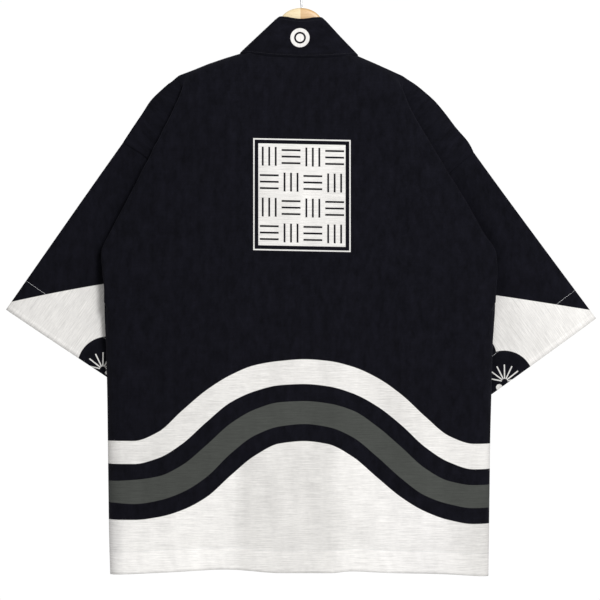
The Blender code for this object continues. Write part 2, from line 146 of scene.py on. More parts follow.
# Beech under satin lacquer: pale honey wood with short darker flecks along the grain, a soft shine. The two
# arms are glued at the middle, one from paler wood than the other.
wood, tree, shader = start_material("lacquered_beech")
at = add(tree, "ShaderNodeTexCoord").outputs["Object"]
board = add(tree, "ShaderNodeMapping", {"Vector": at, "Scale": (9, 260, 150)}).outputs[0]
grain = add(tree, "ShaderNodeTexNoise", {"Vector": board, "Scale": 1.0, "Detail": 4.0, "Roughness": 0.6})
fleck_place = add(tree, "ShaderNodeMapping", {"Vector": at, "Scale": (220, 900, 900)}).outputs[0]
flecks = add(tree, "ShaderNodeTexNoise", {"Vector": fleck_place, "Scale": 1.0, "Detail": 1.0})
tones = []
for codes in (("#d2be94", "#dfceaa"), ("#b8915e", "#c9a878")):
    tone = add(tree, "ShaderNodeValToRGB", {"Fac": grain.outputs["Fac"]})
    for stop, position, code in zip(tone.color_ramp.elements, (0.3, 0.7), codes):
        stop.position, stop.color = position, colour(code)
    tones.append(tone.outputs[0])
sideways = add(tree, "ShaderNodeSeparateXYZ", {0: at}).outputs[0]
other_arm = add(tree, "ShaderNodeMapRange", {"Value": sideways, "From Min": -0.0007, "From Max": -0.0003})
wood_tone = add(tree, "ShaderNodeMix", {0: other_arm.outputs[0], 6: tones[0], 7: tones[1]}, data_type="RGBA")
fleck_mask = add(
    tree, "ShaderNodeMapRange",
    {"Value": flecks.outputs["Fac"], "From Min": 0.62, "From Max": 0.7, "To Max": 0.35},
)
flecked = add(
    tree, "ShaderNodeMix",
    {0: fleck_mask.outputs[0], 6: wood_tone.outputs[2], 7: colour("#9c6a3c")}, data_type="RGBA",
)
tree.links.new(flecked.outputs[2], shader.inputs["Base Color"])
shader.inputs["Roughness"].default_value = 0.42
shader.inputs["Coat Weight"].default_value = 0.25
shader.inputs["Coat Roughness"].default_value = 0.3
pores = add(tree, "ShaderNodeBump", {"Height": grain.outputs["Fac"], "Strength": 0.2, "Distance": 0.0003})
tree.links.new(pores.outputs[0], shader.inputs["Normal"])

rings = []
stations = [-HALF_SPAN + d for d in (0, 1, 3, 6, 10, 15, 22)] + list(range(-150, -60, 10))
stations += list(range(-56, -CROWN_HALF - 2, 3)) + [-CROWN_HALF - 1, -CROWN_HALF]
stations += [-CROWN_HALF * math.cos(math.radians(a)) for a in range(6, 90, 6)]
stations += [0.0] + [-x for x in stations[::-1]]
for x in stations:
    tip = min(1.0, (HALF_SPAN + 2 - abs(x)) / TIP_ROUND) ** 0.5
    top = board_top(x)
    tall = mix(TIP_TALL, MIDDLE_TALL, smooth(1 - abs(x) / HALF_SPAN))
    bottom = ARM_APEX + UNDER_CLOTH + ARM_SLOPE * math.hypot(x, UNDER_ROUND) + tall
    middle, reach = (top + bottom) / 2, (bottom - top) / 2 * tip
    ring = []
    for k in range(AROUND_BOARD):
        angle = 2 * math.pi * (k + 0.5) / AROUND_BOARD
        side = math.copysign(abs(math.cos(angle)) ** FACE_FLAT, math.cos(angle)) * BOARD / 2 * tip
        up = math.copysign(abs(math.sin(angle)) ** EDGE_FLAT, math.sin(angle)) * reach
        drop = middle - up - ARM_APEX
        turned = x * math.cos(HANGER_TILT) - drop * math.sin(HANGER_TILT)
        turned_drop = x * math.sin(HANGER_TILT) + drop * math.cos(HANGER_TILT) + ARM_APEX
        ring.append(place(HANGER_MIDDLE + turned, turned_drop, side))
    rings.append(ring)
hanger = rod("wooden_hanger", rings, wood)
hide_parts("hanger")


# The hook
# Bright drawn steel wire, 3.6 mm, bent to a hook and screwed into the crown. The solid's shape is right, so
# it stays and gets the wire's finish.

steel, tree, shader = start_material("drawn_steel_wire")
at = add(tree, "ShaderNodeTexCoord").outputs["Object"]
drawn = add(tree, "ShaderNodeTexNoise", {"Vector": at, "Scale": 900.0, "Detail": 2.0})
wear = add(tree, "ShaderNodeMapRange", {"Value": drawn.outputs["Fac"], "To Min": 0.22, "To Max": 0.38})
tree.links.new(wear.outputs[0], shader.inputs["Roughness"])
shader.inputs["Base Color"].default_value = colour("#c9cacc")
shader.inputs["Metallic"].default_value = 1.0
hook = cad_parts["hook"]
hook.data.materials.clear()
hook.data.materials.append(steel)


# The body
# Slub cotton, cut in one over the shoulders, reactive dyed near-black navy with the bands left white and
# grey. It hangs from the hanger's arms, and along each armhole the loose cloth doubles under in a fold.

WALL = 1.2
EDGE = 0.55
HALF_DEPTH, SIDE_DEPTH_SHARE, NECK_DEPTH = 27, 0.78, 11
HALF_WIDTH, LENGTH = 325, 881
TOP_ROUND, FRONT_SLOPE, TURN = 12, 85, 30
TOP_LEVEL, EVEN_LEVEL, HEM_LEVEL = 40, 300, 760
TURN_LEVEL, TURN_RUN = 385, 90
CORNER_START, CORNER_END, CORNER_DROP, CORNER_RUN = -202, -222, 6.3, 26
FOLD_MARGIN, FOLD_ROUND, FOLD_FORMS = 14, 3, 34
TUCK_DEPTH, UNDER_TOP, UNDER = 14, 9, 6.5
ARMHOLE_DEPTH, SQUARENESS = 6.5, 0.7
HEM_DEEP, HEM_THICK, HEM_LIGHTER = 38, 0.5, 1.07
PUCKER_HIGH, PUCKER_SLANT, STITCH_PULL = 0.8, 0.45, 0.7
NECK_TUCK, NECK_END, NECK_FADE = 1.2, 100, 20

Side = namedtuple("Side", "level fold overlap outer")
LEFT = [
    Side(40, 190, 0, 222), Side(48, 191, 1, 228), Side(60, 196, 4, 238), Side(77, 203, 9, 254),
    Side(97, 214, 16, 267), Side(122, 228, 26, 284), Side(148, 241, 36, 301), Side(158, 247, 42, 284.5),
    Side(168, 251, 46, 268), Side(192, 264, 55, 241), Side(222, 279, 80, 222), Side(262, 300, 102, 212),
    Side(300, 320, 108, 228), Side(338, 336, 92, 264), Side(370, 334, 52, 292), Side(395, 331, 26, 308),
    Side(420, 331, 12, 318), Side(450, 331, 7, 322), Side(500, 329, 6, 324), Side(580, 327, 4, 324),
    Side(660, 326, 4, 324), Side(740, 325, 4, 324), Side(812, 324, 4, 323), Side(881, 322, 4, 321),
]
RIGHT = [
    Side(40, 160, 0, 186), Side(48, 164, 1, 198), Side(60, 173, 4, 213), Side(77, 182, 9, 232),
    Side(97, 192, 16, 249), Side(122, 206, 26, 268), Side(148, 222, 34, 290), Side(165, 232, 38, 299),
    Side(176, 239, 42, 285), Side(200, 253, 52, 257), Side(225, 269, 66, 232), Side(262, 291, 96, 212),
    Side(300, 312, 102, 228), Side(338, 335, 90, 264), Side(370, 337, 54, 292), Side(395, 335, 28, 309),
    Side(420, 334, 12, 320), Side(450, 333, 7, 323), Side(500, 330, 6, 325), Side(580, 328, 4, 324),
    Side(660, 326, 4, 324), Side(740, 325, 4, 324), Side(812, 324, 4, 323), Side(881, 323, 4, 322),
]
Edge = namedtuple("Edge", "across drop")
TOP_EDGE = [
    Edge(-222, 40), Edge(-207, 34), Edge(-182, 24.8), Edge(-155, 13.8), Edge(-125, 3.6), Edge(-98, -4.6),
    Edge(-50, 1.7), Edge(0, 4.2), Edge(50, 3.5), Edge(98, -0.8), Edge(130, 13), Edge(176.8, 34),
    Edge(186, 40),
]
HEM_EDGE = [
    Edge(-321, 884), Edge(-220, 879), Edge(-120, 874), Edge(-30, 880), Edge(55, 880), Edge(88, 877),
    Edge(155, 880), Edge(240, 882), Edge(322, 887),
]
LEFT_ARMHOLE = [Edge(301, 148), Edge(268, 168), Edge(241, 192), Edge(222, 222), Edge(212, 262)]
RIGHT_ARMHOLE = [Edge(299, 165), Edge(285, 176), Edge(257, 200), Edge(232, 225), Edge(212, 262)]

# Soft ridges and hollows of the hanging cloth, each from one point to another. The first ten are the ones
# that the solid has too.
Fold = namedtuple("Fold", "across drop to_across to_drop width height")
FOLDS = [
    Fold(-105, 20, -235, 330, 26, 3.2), Fold(-165, 45, -215, 150, 16, 2.6),
    Fold(-150, 200, -290, 300, 22, 2.4), Fold(105, 25, 240, 330, 26, 3.0),
    Fold(140, 45, 200, 150, 16, 2.2), Fold(120, 380, 300, 345, 24, 2.2),
    Fold(-80, 640, -110, 876, 26, 3.4), Fold(95, 660, 85, 876, 24, 2.6),
    Fold(-215, 760, -205, 876, 24, 2.0), Fold(215, 700, 230, 876, 28, 2.2),
    Fold(-190, 60, -270, 250, 9, 1.5), Fold(-178, 90, -236, 230, 7, 1.0),
    Fold(-120, 60, -200, 210, 12, 1.0), Fold(-240, 240, -312, 330, 9, 1.6),
    Fold(-205, 270, -306, 372, 10, 1.4), Fold(-150, 330, -322, 420, 13, 1.2),
    Fold(-60, 90, -180, 330, 18, 0.9), Fold(150, 70, 215, 180, 8, 1.3),
    Fold(180, 150, 262, 290, 9, 1.5), Fold(200, 260, 316, 352, 10, 1.4),
    Fold(120, 330, 322, 400, 14, 1.2), Fold(60, 110, 170, 330, 18, 0.9),
    Fold(-300, 420, -322, 620, 12, -1.2), Fold(300, 430, 322, 640, 12, -1.2),
    Fold(-170, 620, -150, 840, 16, -1.0), Fold(20, 560, 0, 876, 22, -1.4),
    Fold(150, 600, 160, 876, 18, -1.2), Fold(-280, 640, -290, 876, 16, 1.4),
    Fold(285, 660, 292, 876, 15, 1.4), Fold(-30, 700, -40, 876, 12, 0.9),
    Fold(-60, 600, -95, 872, 14, 1.8), Fold(70, 620, 48, 872, 12, 1.6),
    Fold(-250, 700, -262, 876, 12, 1.4),
]


def through(rows, key, column):
    """A smooth line through the rows of a table that never swings past them."""
    xs = [getattr(row, key) for row in rows]
    ys = [getattr(row, column) for row in rows]
    return through_points(xs, ys)


def through_points(xs, ys):
    slopes = [(b - a) / (q - p) for a, b, p, q in zip(ys, ys[1:], xs, xs[1:])]
    bends = [slopes[0]]
    for before, after in zip(slopes, slopes[1:]):
        bends.append(0.0 if before * after <= 0 else 2 * before * after / (before + after))
    bends.append(slopes[-1])

    def line(x):
        x = min(max(x, xs[0]), xs[-1])
        k = min(bisect_right(xs, x) - 1, len(xs) - 2)
        wide = xs[k + 1] - xs[k]
        t = (x - xs[k]) / wide
        return (
            ys[k] * (1 + 2 * t) * (1 - t) ** 2 + bends[k] * wide * t * (1 - t) ** 2
            + ys[k + 1] * t * t * (3 - 2 * t) + bends[k + 1] * wide * t * t * (t - 1)
        )

    return line


def top_line(across):
    """The edge at the shoulders and the neck, which is tucked a little way up under the collar band."""
    line = np.interp(across, [edge.across for edge in TOP_EDGE], [edge.drop for edge in TOP_EDGE])
    return float(line) - NECK_TUCK * smooth((NECK_END - abs(across)) / NECK_FADE)


hem_line = through(HEM_EDGE, "across", "drop")


def upper_share(level):
    return 1 - smooth((level - TOP_LEVEL) / (EVEN_LEVEL - TOP_LEVEL))


def corner_droop(across, level):
    """How much lower the left shoulder's soft corner lies than two straight edges would meet."""
    fade = max(0.0, 1 - (level - TOP_LEVEL) / CORNER_RUN) ** 1.5
    return CORNER_DROP * smooth((CORNER_START - across) / (CORNER_START - CORNER_END)) * fade


def row_drop(across, level):
    drop = level + (top_line(across) - TOP_LEVEL) * upper_share(level) + corner_droop(across, level)
    return drop + (hem_line(across) - LENGTH) * smooth((level - HEM_LEVEL) / (LENGTH - HEM_LEVEL))


def fold_height(across, drop):
    """How far the folds lift the back at a point."""
    height = 0.0
    for fold in FOLDS:
        run = (fold.to_across - fold.across, fold.to_drop - fold.drop)
        away = (across - fold.across, drop - fold.drop)
        length = math.hypot(*run)
        share = (away[0] * run[0] + away[1] * run[1]) / length**2
        if not -0.3 < share < 1.4:
            continue
        aside = (away[0] * run[1] - away[1] * run[0]) / length
        fade = smooth(share / 0.2 + 0.2) * smooth((1 - share) / 0.3 + (0.3 if fold.to_drop > 870 else 0))
        height += fold.height * fade * math.exp(-((aside / fold.width) ** 2))
    return height


def hem_step(across, drop):
    """The turned-up hem: a second layer below its stitches, which draw the cloth in slanting puckers."""
    above_edge = hem_line(across) - drop
    step = HEM_THICK * smooth((HEM_DEEP + 1.5 - above_edge) / 3)
    slant = across + PUCKER_SLANT * above_edge
    pucker = math.sin(slant * 0.33 + 1.7 * math.sin(slant * 0.051)) * math.sin(slant * 0.043 + 1)
    in_hem = smooth(above_edge / 12 + 0.3) * smooth((HEM_DEEP + 6 - above_edge) / 14)
    pull = math.exp(-(((above_edge - HEM_DEEP) / 3.5) ** 2))
    return step + PUCKER_HIGH * pucker * in_hem - STITCH_PULL * pull


def body_depth(across, level, top_depth):
    below = row_drop(across, level) - row_drop(across, TOP_LEVEL)
    full = HALF_DEPTH * mix(1, SIDE_DEPTH_SHARE, (across / HALF_WIDTH) ** 2)
    return mix(top_depth, full, 1 - math.exp(-below / TOP_ROUND))


def back_depth(across, level):
    neck = smooth((102 - abs(across)) / 18)
    depth = body_depth(across, level, mix(EDGE, NECK_DEPTH, neck))
    drop = row_drop(across, level)
    settled = smooth((level - TOP_LEVEL) / 60)
    ripple = 0.25 * math.sin(across * 0.05 + drop * 0.021) * math.sin(drop * 0.043 - across * 0.017)
    return depth + (fold_height(across, drop) + ripple) * settled + hem_step(across, drop)


class Armhole:
    """The seam from the outline to the underarm: its drop and across at each share of its length."""

    def __init__(self, seam):
        line = through(seam, "drop", "across")
        self.top, self.bottom = seam[0].drop, seam[-1].drop
        self.drops = [mix(self.top, self.bottom, k / 80) for k in range(81)]
        self.outs = [line(drop) for drop in self.drops]
        run, spots = [0.0], list(zip(self.outs, self.drops))
        for spot, after in zip(spots, spots[1:]):
            run.append(run[-1] + math.dist(spot, after))
        self.shares = [length / run[-1] for length in run]
        self.share_at = through_points(self.drops, self.shares)
        self.out_at = through_points(self.drops, self.outs)
        self.out_at_share = through_points(self.shares, self.outs)
        self.drop_at_share = through_points(self.shares, self.drops)

    def edge_depth(self, level):
        if not self.top <= level <= self.bottom:
            return EDGE
        share = min(1.0, max(0.0, self.share_at(level)))
        width = 2 * math.sqrt(share * (1 - share))
        return max(EDGE, ARMHOLE_DEPTH * width**SQUARENESS)


class BodySide:
    """One side of the body: the fold, the overlap and the outer end at each level."""

    def __init__(self, sign, rows, seam):
        self.sign = sign
        self.armhole = Armhole(seam)
        self.fold = through(rows, "level", "fold")
        self.overlap = through(rows, "level", "overlap")
        self.shoulder = through([row for row in rows if row.level <= self.armhole.top], "level", "outer")
        self.side = through([row for row in rows if row.level >= self.armhole.bottom], "level", "outer")

    def outer(self, level):
        if level < self.armhole.top:
            return self.shoulder(level)
        return self.armhole.out_at(level) if level <= self.armhole.bottom else self.side(level)


left, right = BodySide(-1, LEFT, LEFT_ARMHOLE), BodySide(1, RIGHT, RIGHT_ARMHOLE)


def turned_share(level):
    return smooth((level - TURN_LEVEL) / TURN_RUN)


def fold_path(side, level, steps=6):
    """Points across one level from the panel's face, round the fold, to where the cloth ends."""
    fold, outer = side.fold(level), side.outer(level)
    start = fold - FOLD_MARGIN
    face = back_depth(side.sign * start, level)
    under = mix(UNDER_TOP, UNDER, smooth((level - 90) / 60))
    edge = side.armhole.edge_depth(level)
    inner = fold - max(side.overlap(level), 2 * FOLD_ROUND)
    tucked = min(TUCK_DEPTH, mix(face, under, 0.5))
    doubled = [
        (start, face), (fold - FOLD_ROUND, face - 0.8), (fold, mix(face, tucked, 0.5)),
        (fold - FOLD_ROUND, tucked), (inner + FOLD_ROUND, tucked - 0.6), (inner, mix(tucked, under, 0.5)),
        (inner + FOLD_ROUND, under), (mix(inner + FOLD_ROUND, outer, 0.6), mix(under, edge, 0.15)),
        (outer, edge),
    ]
    last = len(doubled) - 1
    flat = [(mix(start, outer, k / last), mix(face, edge, k / last)) for k in range(last + 1)]
    turn_start = fold - TURN
    turn_face = back_depth(side.sign * turn_start, level)
    formed, turn = smooth((level - TOP_LEVEL) / FOLD_FORMS), turned_share(level)
    path = []
    for k in range(last + 1):
        angle = math.pi / 2 * k / last
        turned = (turn_start + TURN * math.sin(angle), mix(EDGE, turn_face, math.cos(angle)))
        plain = [mix(flat[k][n], doubled[k][n], formed) for n in (0, 1)]
        path.append([mix(plain[n], turned[n], turn) for n in (0, 1)])
    if level > TURN_LEVEL:
        # Where the doubled cloth opens into the plain side, its edge still reaches the fold's line
        reach, begin = max(point[0] for point in path), path[0][0]
        for point in path:
            point[0] = begin + (point[0] - begin) * (fold - begin) / (reach - begin)
    run = [0.0]
    for a, b in zip(path, path[1:]):
        run.append(run[-1] + max(math.dist(a, b), 0.05))
    lines = [through_points(run, [point[n] for point in path]) for n in (0, 1)]
    marks = [mix(a, b, k / steps) for a, b in zip(run, run[1:]) for k in range(steps)] + [run[-1]]
    return [(lines[0](mark), lines[1](mark), path[0][0] + mark) for mark in marks]


def cloth_normals(grid, ring):
    """The normal at each point of a grid, a little longer where the cloth turns."""
    closed = np.concatenate([grid, grid[:, :1]], axis=1) if ring else grid
    faces = np.cross(closed[1:, :-1] - closed[:-1, 1:], closed[1:, 1:] - closed[:-1, :-1])
    faces /= np.maximum(np.linalg.norm(faces, axis=2, keepdims=True), 1e-12)
    total = np.zeros_like(closed)
    count = np.zeros(closed.shape[:2] + (1,))
    for r, c in ((slice(None, -1), slice(None, -1)), (slice(1, None), slice(None, -1)),
                 (slice(None, -1), slice(1, None)), (slice(1, None), slice(1, None))):
        total[r, c] += faces
        count[r, c] += 1
    if ring:
        total[:, 0] += total[:, -1]
        count[:, 0] += count[:, -1]
        total, count = total[:, :-1], count[:, :-1]
    length = np.linalg.norm(total, axis=2, keepdims=True)
    spread = length / count
    return total / np.maximum(length, 1e-12) / np.maximum(spread, 0.75)


def sewn_piece(name, grid, cloth, finish, wall=WALL, ring=False, thinning=None, marks=None):
    """A closed cloth wall round a grid of points, with its cloth coordinates and any named marks."""
    rows, count = grid.shape[:2]
    offset = cloth_normals(grid, ring) * wall / 2 * MM
    if thinning is not None:
        offset = offset * np.asarray(thinning)[None, :, None]
    corners = np.concatenate([(grid + offset).reshape(-1, 3), (grid - offset).reshape(-1, 3)])
    layer = rows * count
    steps = count if ring else count - 1
    r, c = np.meshgrid(np.arange(rows - 1), np.arange(steps), indexing="ij")
    turn = (c + 1) % count
    a, b, d, e = r * count + c, r * count + turn, (r + 1) * count + turn, (r + 1) * count + c
    quads = [np.stack([a, b, d, e], -1).reshape(-1, 4), np.stack([a, e, d, b], -1).reshape(-1, 4) + layer]
    line = np.arange(steps)
    after = (line + 1) % count
    for row, flip in ((0, False), ((rows - 1) * count, True)):
        rim = np.stack([row + line, row + line + layer, row + after + layer, row + after], -1)
        quads.append(rim[:, ::-1] if flip else rim)
    if not ring:
        down = np.arange(rows - 1) * count
        for column, flip in ((0, True), (count - 1, False)):
            near, far = down + column, down + count + column
            rim = np.stack([near, near + layer, far + layer, far], -1)
            quads.append(rim[:, ::-1] if flip else rim)
    made = closed_piece(name, corners.tolist(), np.concatenate(quads).tolist(), finish)
    mesh = made.data
    owner = np.zeros(len(mesh.loops), dtype=np.int32)
    mesh.loops.foreach_get("vertex_index", owner)
    flat = np.concatenate([cloth.reshape(-1, 2)] * 2)
    mesh.uv_layers.new(name="cloth").data.foreach_set("uv", flat[owner].ravel())
    for mark, values in (marks or {}).items():
        stored = mesh.attributes.new(mark, "FLOAT_VECTOR", "POINT")
        stored.data.foreach_set("vector", np.concatenate([values.reshape(-1, 3)] * 2).ravel())
    return made


NAVY_DEEP, NAVY_WORN_AND_LIT, OFF_WHITE, GREY = "#040408", "#12121a", "#dad8d5", "#454744"


def slub_cotton(name, prints, weft=0):
    """Slub cotton, plain woven: matt, with thick and thin weft yarns that catch the light in short streaks.

    prints gives the masks and colours that lie over the navy, worked out from the cloth's coordinates. A
    colour is a code, a socket, or None for the navy again. weft is the weft yarns' angle on the piece, in
    degrees.
    """
    made, tree, shader = start_material(name)
    on_cloth = add(tree, "ShaderNodeUVMap", uv_map="cloth").outputs[0]
    split = add(tree, "ShaderNodeSeparateXYZ", {0: on_cloth})
    # The dye takes unevenly, in soft patches a finger wide and in the thicker yarns. The patches are also
    # painted light:
    # lighter and darker navy standing in for the ridges and hollows of the folds
    patch_place = add(tree, "ShaderNodeMapping", {0: on_cloth, "Scale": (75, 32, 1)}).outputs[0]
    patches = add(
        tree, "ShaderNodeTexNoise", {"Vector": patch_place, "Scale": 1.0, "Detail": 7.0, "Roughness": 0.8}
    )
    navy_dye_and_light = add(tree, "ShaderNodeValToRGB", {"Fac": patches.outputs["Fac"]})
    for stop, (position, code) in zip(navy_dye_and_light.color_ramp.elements, ((0.3, NAVY_DEEP), (0.7, NAVY_WORN_AND_LIT))):
        stop.position, stop.color = position, colour(code)
    navy = navy_dye_and_light.outputs[0]
    shade = navy
    for mask, code in prints(tree, split.outputs[0], split.outputs[1]):
        over = colour(code) if isinstance(code, str) else code or navy
        shade = add(tree, "ShaderNodeMix", {0: mask, 6: shade, 7: over}, data_type="RGBA").outputs[2]
    turned = add(tree, "ShaderNodeMapping", {0: on_cloth, "Rotation": (0, 0, math.radians(-weft))}).outputs[0]
    # Slubs: yarn thickenings about 40 mm long and 1.3 mm high, and finer ones between them
    long_slubs = add(tree, "ShaderNodeMapping", {0: turned, "Scale": (24, 760, 1)}).outputs[0]
    slubs = add(
        tree, "ShaderNodeTexNoise", {"Vector": long_slubs, "Scale": 1.0, "Detail": 3.0, "Roughness": 0.65}
    )
    short_slubs = add(tree, "ShaderNodeMapping", {0: turned, "Scale": (110, 1500, 1)}).outputs[0]
    fine = add(tree, "ShaderNodeTexNoise", {"Vector": short_slubs, "Scale": 1.0, "Detail": 2.0})
    # Warp yarns 0.7 mm apart, which show only close up
    warp_place = add(tree, "ShaderNodeMapping", {0: on_cloth, "Scale": (1430, 1430, 1)}).outputs[0]
    warp = add(tree, "ShaderNodeTexNoise", {"Vector": warp_place, "Scale": 1.0, "Detail": 0.0})
    yarn = add(tree, "ShaderNodeMath", {0: slubs.outputs["Fac"], 1: 0.7}, operation="MULTIPLY")
    yarn = add(
        tree, "ShaderNodeMath", {0: fine.outputs["Fac"], 1: 0.3, 2: yarn.outputs[0]}, operation="MULTIPLY_ADD"
    )
    # Broad, faint clouds of uneven dye and finish, and of painted shade: darker patches standing in for soft
    # wrinkles
    cloud_place = add(tree, "ShaderNodeMapping", {0: on_cloth, "Scale": (15, 6, 1)}).outputs[0]
    clouds = add(
        tree, "ShaderNodeTexNoise", {"Vector": cloud_place, "Scale": 1.0, "Detail": 6.0, "Roughness": 0.68}
    )
    tone = add(
        tree, "ShaderNodeMapRange",
        {"Value": yarn.outputs[0], "From Min": 0.36, "From Max": 0.62, "To Min": 0.8, "To Max": 1.08},
    )
    cloud_and_wrinkle_shade_tone = add(
        tree, "ShaderNodeMapRange",
        {"Value": clouds.outputs["Fac"], "From Min": 0.3, "From Max": 0.7, "To Min": 0.88, "To Max": 1.08},
    )
    both = add(tree, "ShaderNodeMath", {0: tone.outputs[0], 1: cloud_and_wrinkle_shade_tone.outputs[0]}, operation="MULTIPLY")
    # A hem is two layers, so less of the dark inside shows through it than through the single cloth
    hem = add(tree, "ShaderNodeAttribute", attribute_name="doubled").outputs["Vector"]
    hem = add(tree, "ShaderNodeSeparateXYZ", {0: hem}).outputs[0]
    layers = add(
        tree, "ShaderNodeMapRange",
        {"Value": hem, "From Min": 0.0002, "From Max": 0.001, "To Min": 1.0, "To Max": HEM_LIGHTER},
    )
    both = add(tree, "ShaderNodeMath", {0: both.outputs[0], 1: layers.outputs[0]}, operation="MULTIPLY")
    toned = add(tree, "ShaderNodeVectorMath", {0: shade, "Scale": both.outputs[0]}, operation="SCALE")
    tree.links.new(toned.outputs[0], shader.inputs["Base Color"])
    threads = add(
        tree, "ShaderNodeMath", {0: warp.outputs["Fac"], 1: 0.25, 2: yarn.outputs[0]},
        operation="MULTIPLY_ADD",
    )
    relief = add(tree, "ShaderNodeBump", {"Height": threads.outputs[0], "Strength": 0.35, "Distance": 0.0006})
    tree.links.new(relief.outputs[0], shader.inputs["Normal"])
    shader.inputs["Roughness"].default_value = 0.93
    shader.inputs["Specular IOR Level"].default_value = 0.08
    # Loose fibre ends catch light along the folds
    shader.inputs["Sheen Weight"].default_value = 0.04
    shader.inputs["Sheen Roughness"].default_value = 0.4
    shader.inputs["Sheen Tint"].default_value = colour("#c9cae6")
    return made


# The printed bands of the back: a broad hump of white and grey stripes over a white hem
Band = namedtuple("Band", "across white_top white_end grey_top grey_end hem_white")
BANDS = [
    Band(-420, 656, 695, 724, 761, 790), Band(-318, 656, 695, 724, 761, 790),
    Band(-277, 656, 695, 722, 763, 790), Band(-236, 641, 685, 716, 757, 785),
    Band(-196, 605, 661, 697, 743, 773), Band(-155, 570, 624, 663, 717, 751),
    Band(-114, 544, 590, 626, 677, 714), Band(-73, 527, 571, 602, 646, 680),
    Band(-32, 520, 561, 590, 631, 660), Band(9, 517, 559, 588, 627, 656),
    Band(49, 520, 563, 592, 632, 661), Band(90, 530, 575, 604, 649, 682),
    Band(131, 549, 597, 631, 682, 717), Band(172, 578, 629, 666, 719, 751),
    Band(212, 615, 666, 702, 748, 775), Band(253, 648, 692, 724, 763, 790),
    Band(294, 661, 704, 731, 770, 797), Band(315, 661, 704, 731, 770, 797),
    Band(420, 661, 704, 731, 770, 797),
]
BAND_LINES = [through(BANDS, "across", column) for column in Band._fields[1:]]
# The white hem's tone from left to right, fitted to the photograph, so it carries painted light. It is duller
# in the middle, taken as the dark collar bands seen through thin cloth, and lighter at the left as painted
# light, making up for light from the right.
HEM_TONES_AND_PAINTED_LIGHT = [
    (-320, "#dfdddb"), (-290, "#e6e4e1"), (-112, "#e8e6e3"), (-92, "#d6d4d1"),
    (52, "#d7d5d2"), (78, "#e2e0dd"), (220, "#dfdddb"), (300, "#d3d1ce"),
]
FRAME_MIDDLE, FRAME_HALF = (5, 238.5), (82.6, 95)
FRAME_LINE, FRAME_LEAN, PANEL_INSET = 2.2, -0.02, 8.6
STROKE, STROKE_HALF, STROKE_OFF = 3.2, 16, 11
SHARPNESS = 0.0003


def sharp(tree, value):
    """1 where a length in metres is above nothing, 0 below, over about half a millimetre."""
    return add(
        tree, "ShaderNodeMapRange", {"Value": value, "From Min": -SHARPNESS, "From Max": SHARPNESS}
    ).outputs[0]


def off_middle(tree, value, step):
    """How many even steps a value reaches, and how far it lies from the middle of its own step."""
    steps = add(tree, "ShaderNodeMath", {0: value, 1: step}, operation="DIVIDE").outputs[0]
    share = add(tree, "ShaderNodeMath", {0: steps}, operation="FRACT").outputs[0]
    share = add(tree, "ShaderNodeMath", {0: share, 1: 0.5}, operation="SUBTRACT").outputs[0]
    share = add(tree, "ShaderNodeMath", {0: share}, operation="ABSOLUTE").outputs[0]
    return steps, add(tree, "ShaderNodeMath", {0: share, 1: step}, operation="MULTIPLY").outputs[0]


def band_masks(tree):
    """Where the white band, the grey band and the white hem lie, from the marks kept with the cloth."""
    edges = []
    for name, count in (("upper_bands", 3), ("lower_bands", 2)):
        stored = add(tree, "ShaderNodeAttribute", attribute_name=name).outputs["Vector"]
        split = add(tree, "ShaderNodeSeparateXYZ", {0: stored})
        edges += [sharp(tree, split.outputs[n]) for n in range(count)]
    white = add(tree, "ShaderNodeMath", {0: edges[0], 1: edges[1]}, operation="SUBTRACT").outputs[0]
    grey = add(tree, "ShaderNodeMath", {0: edges[2], 1: edges[3]}, operation="SUBTRACT").outputs[0]
    return white, grey, edges[4]


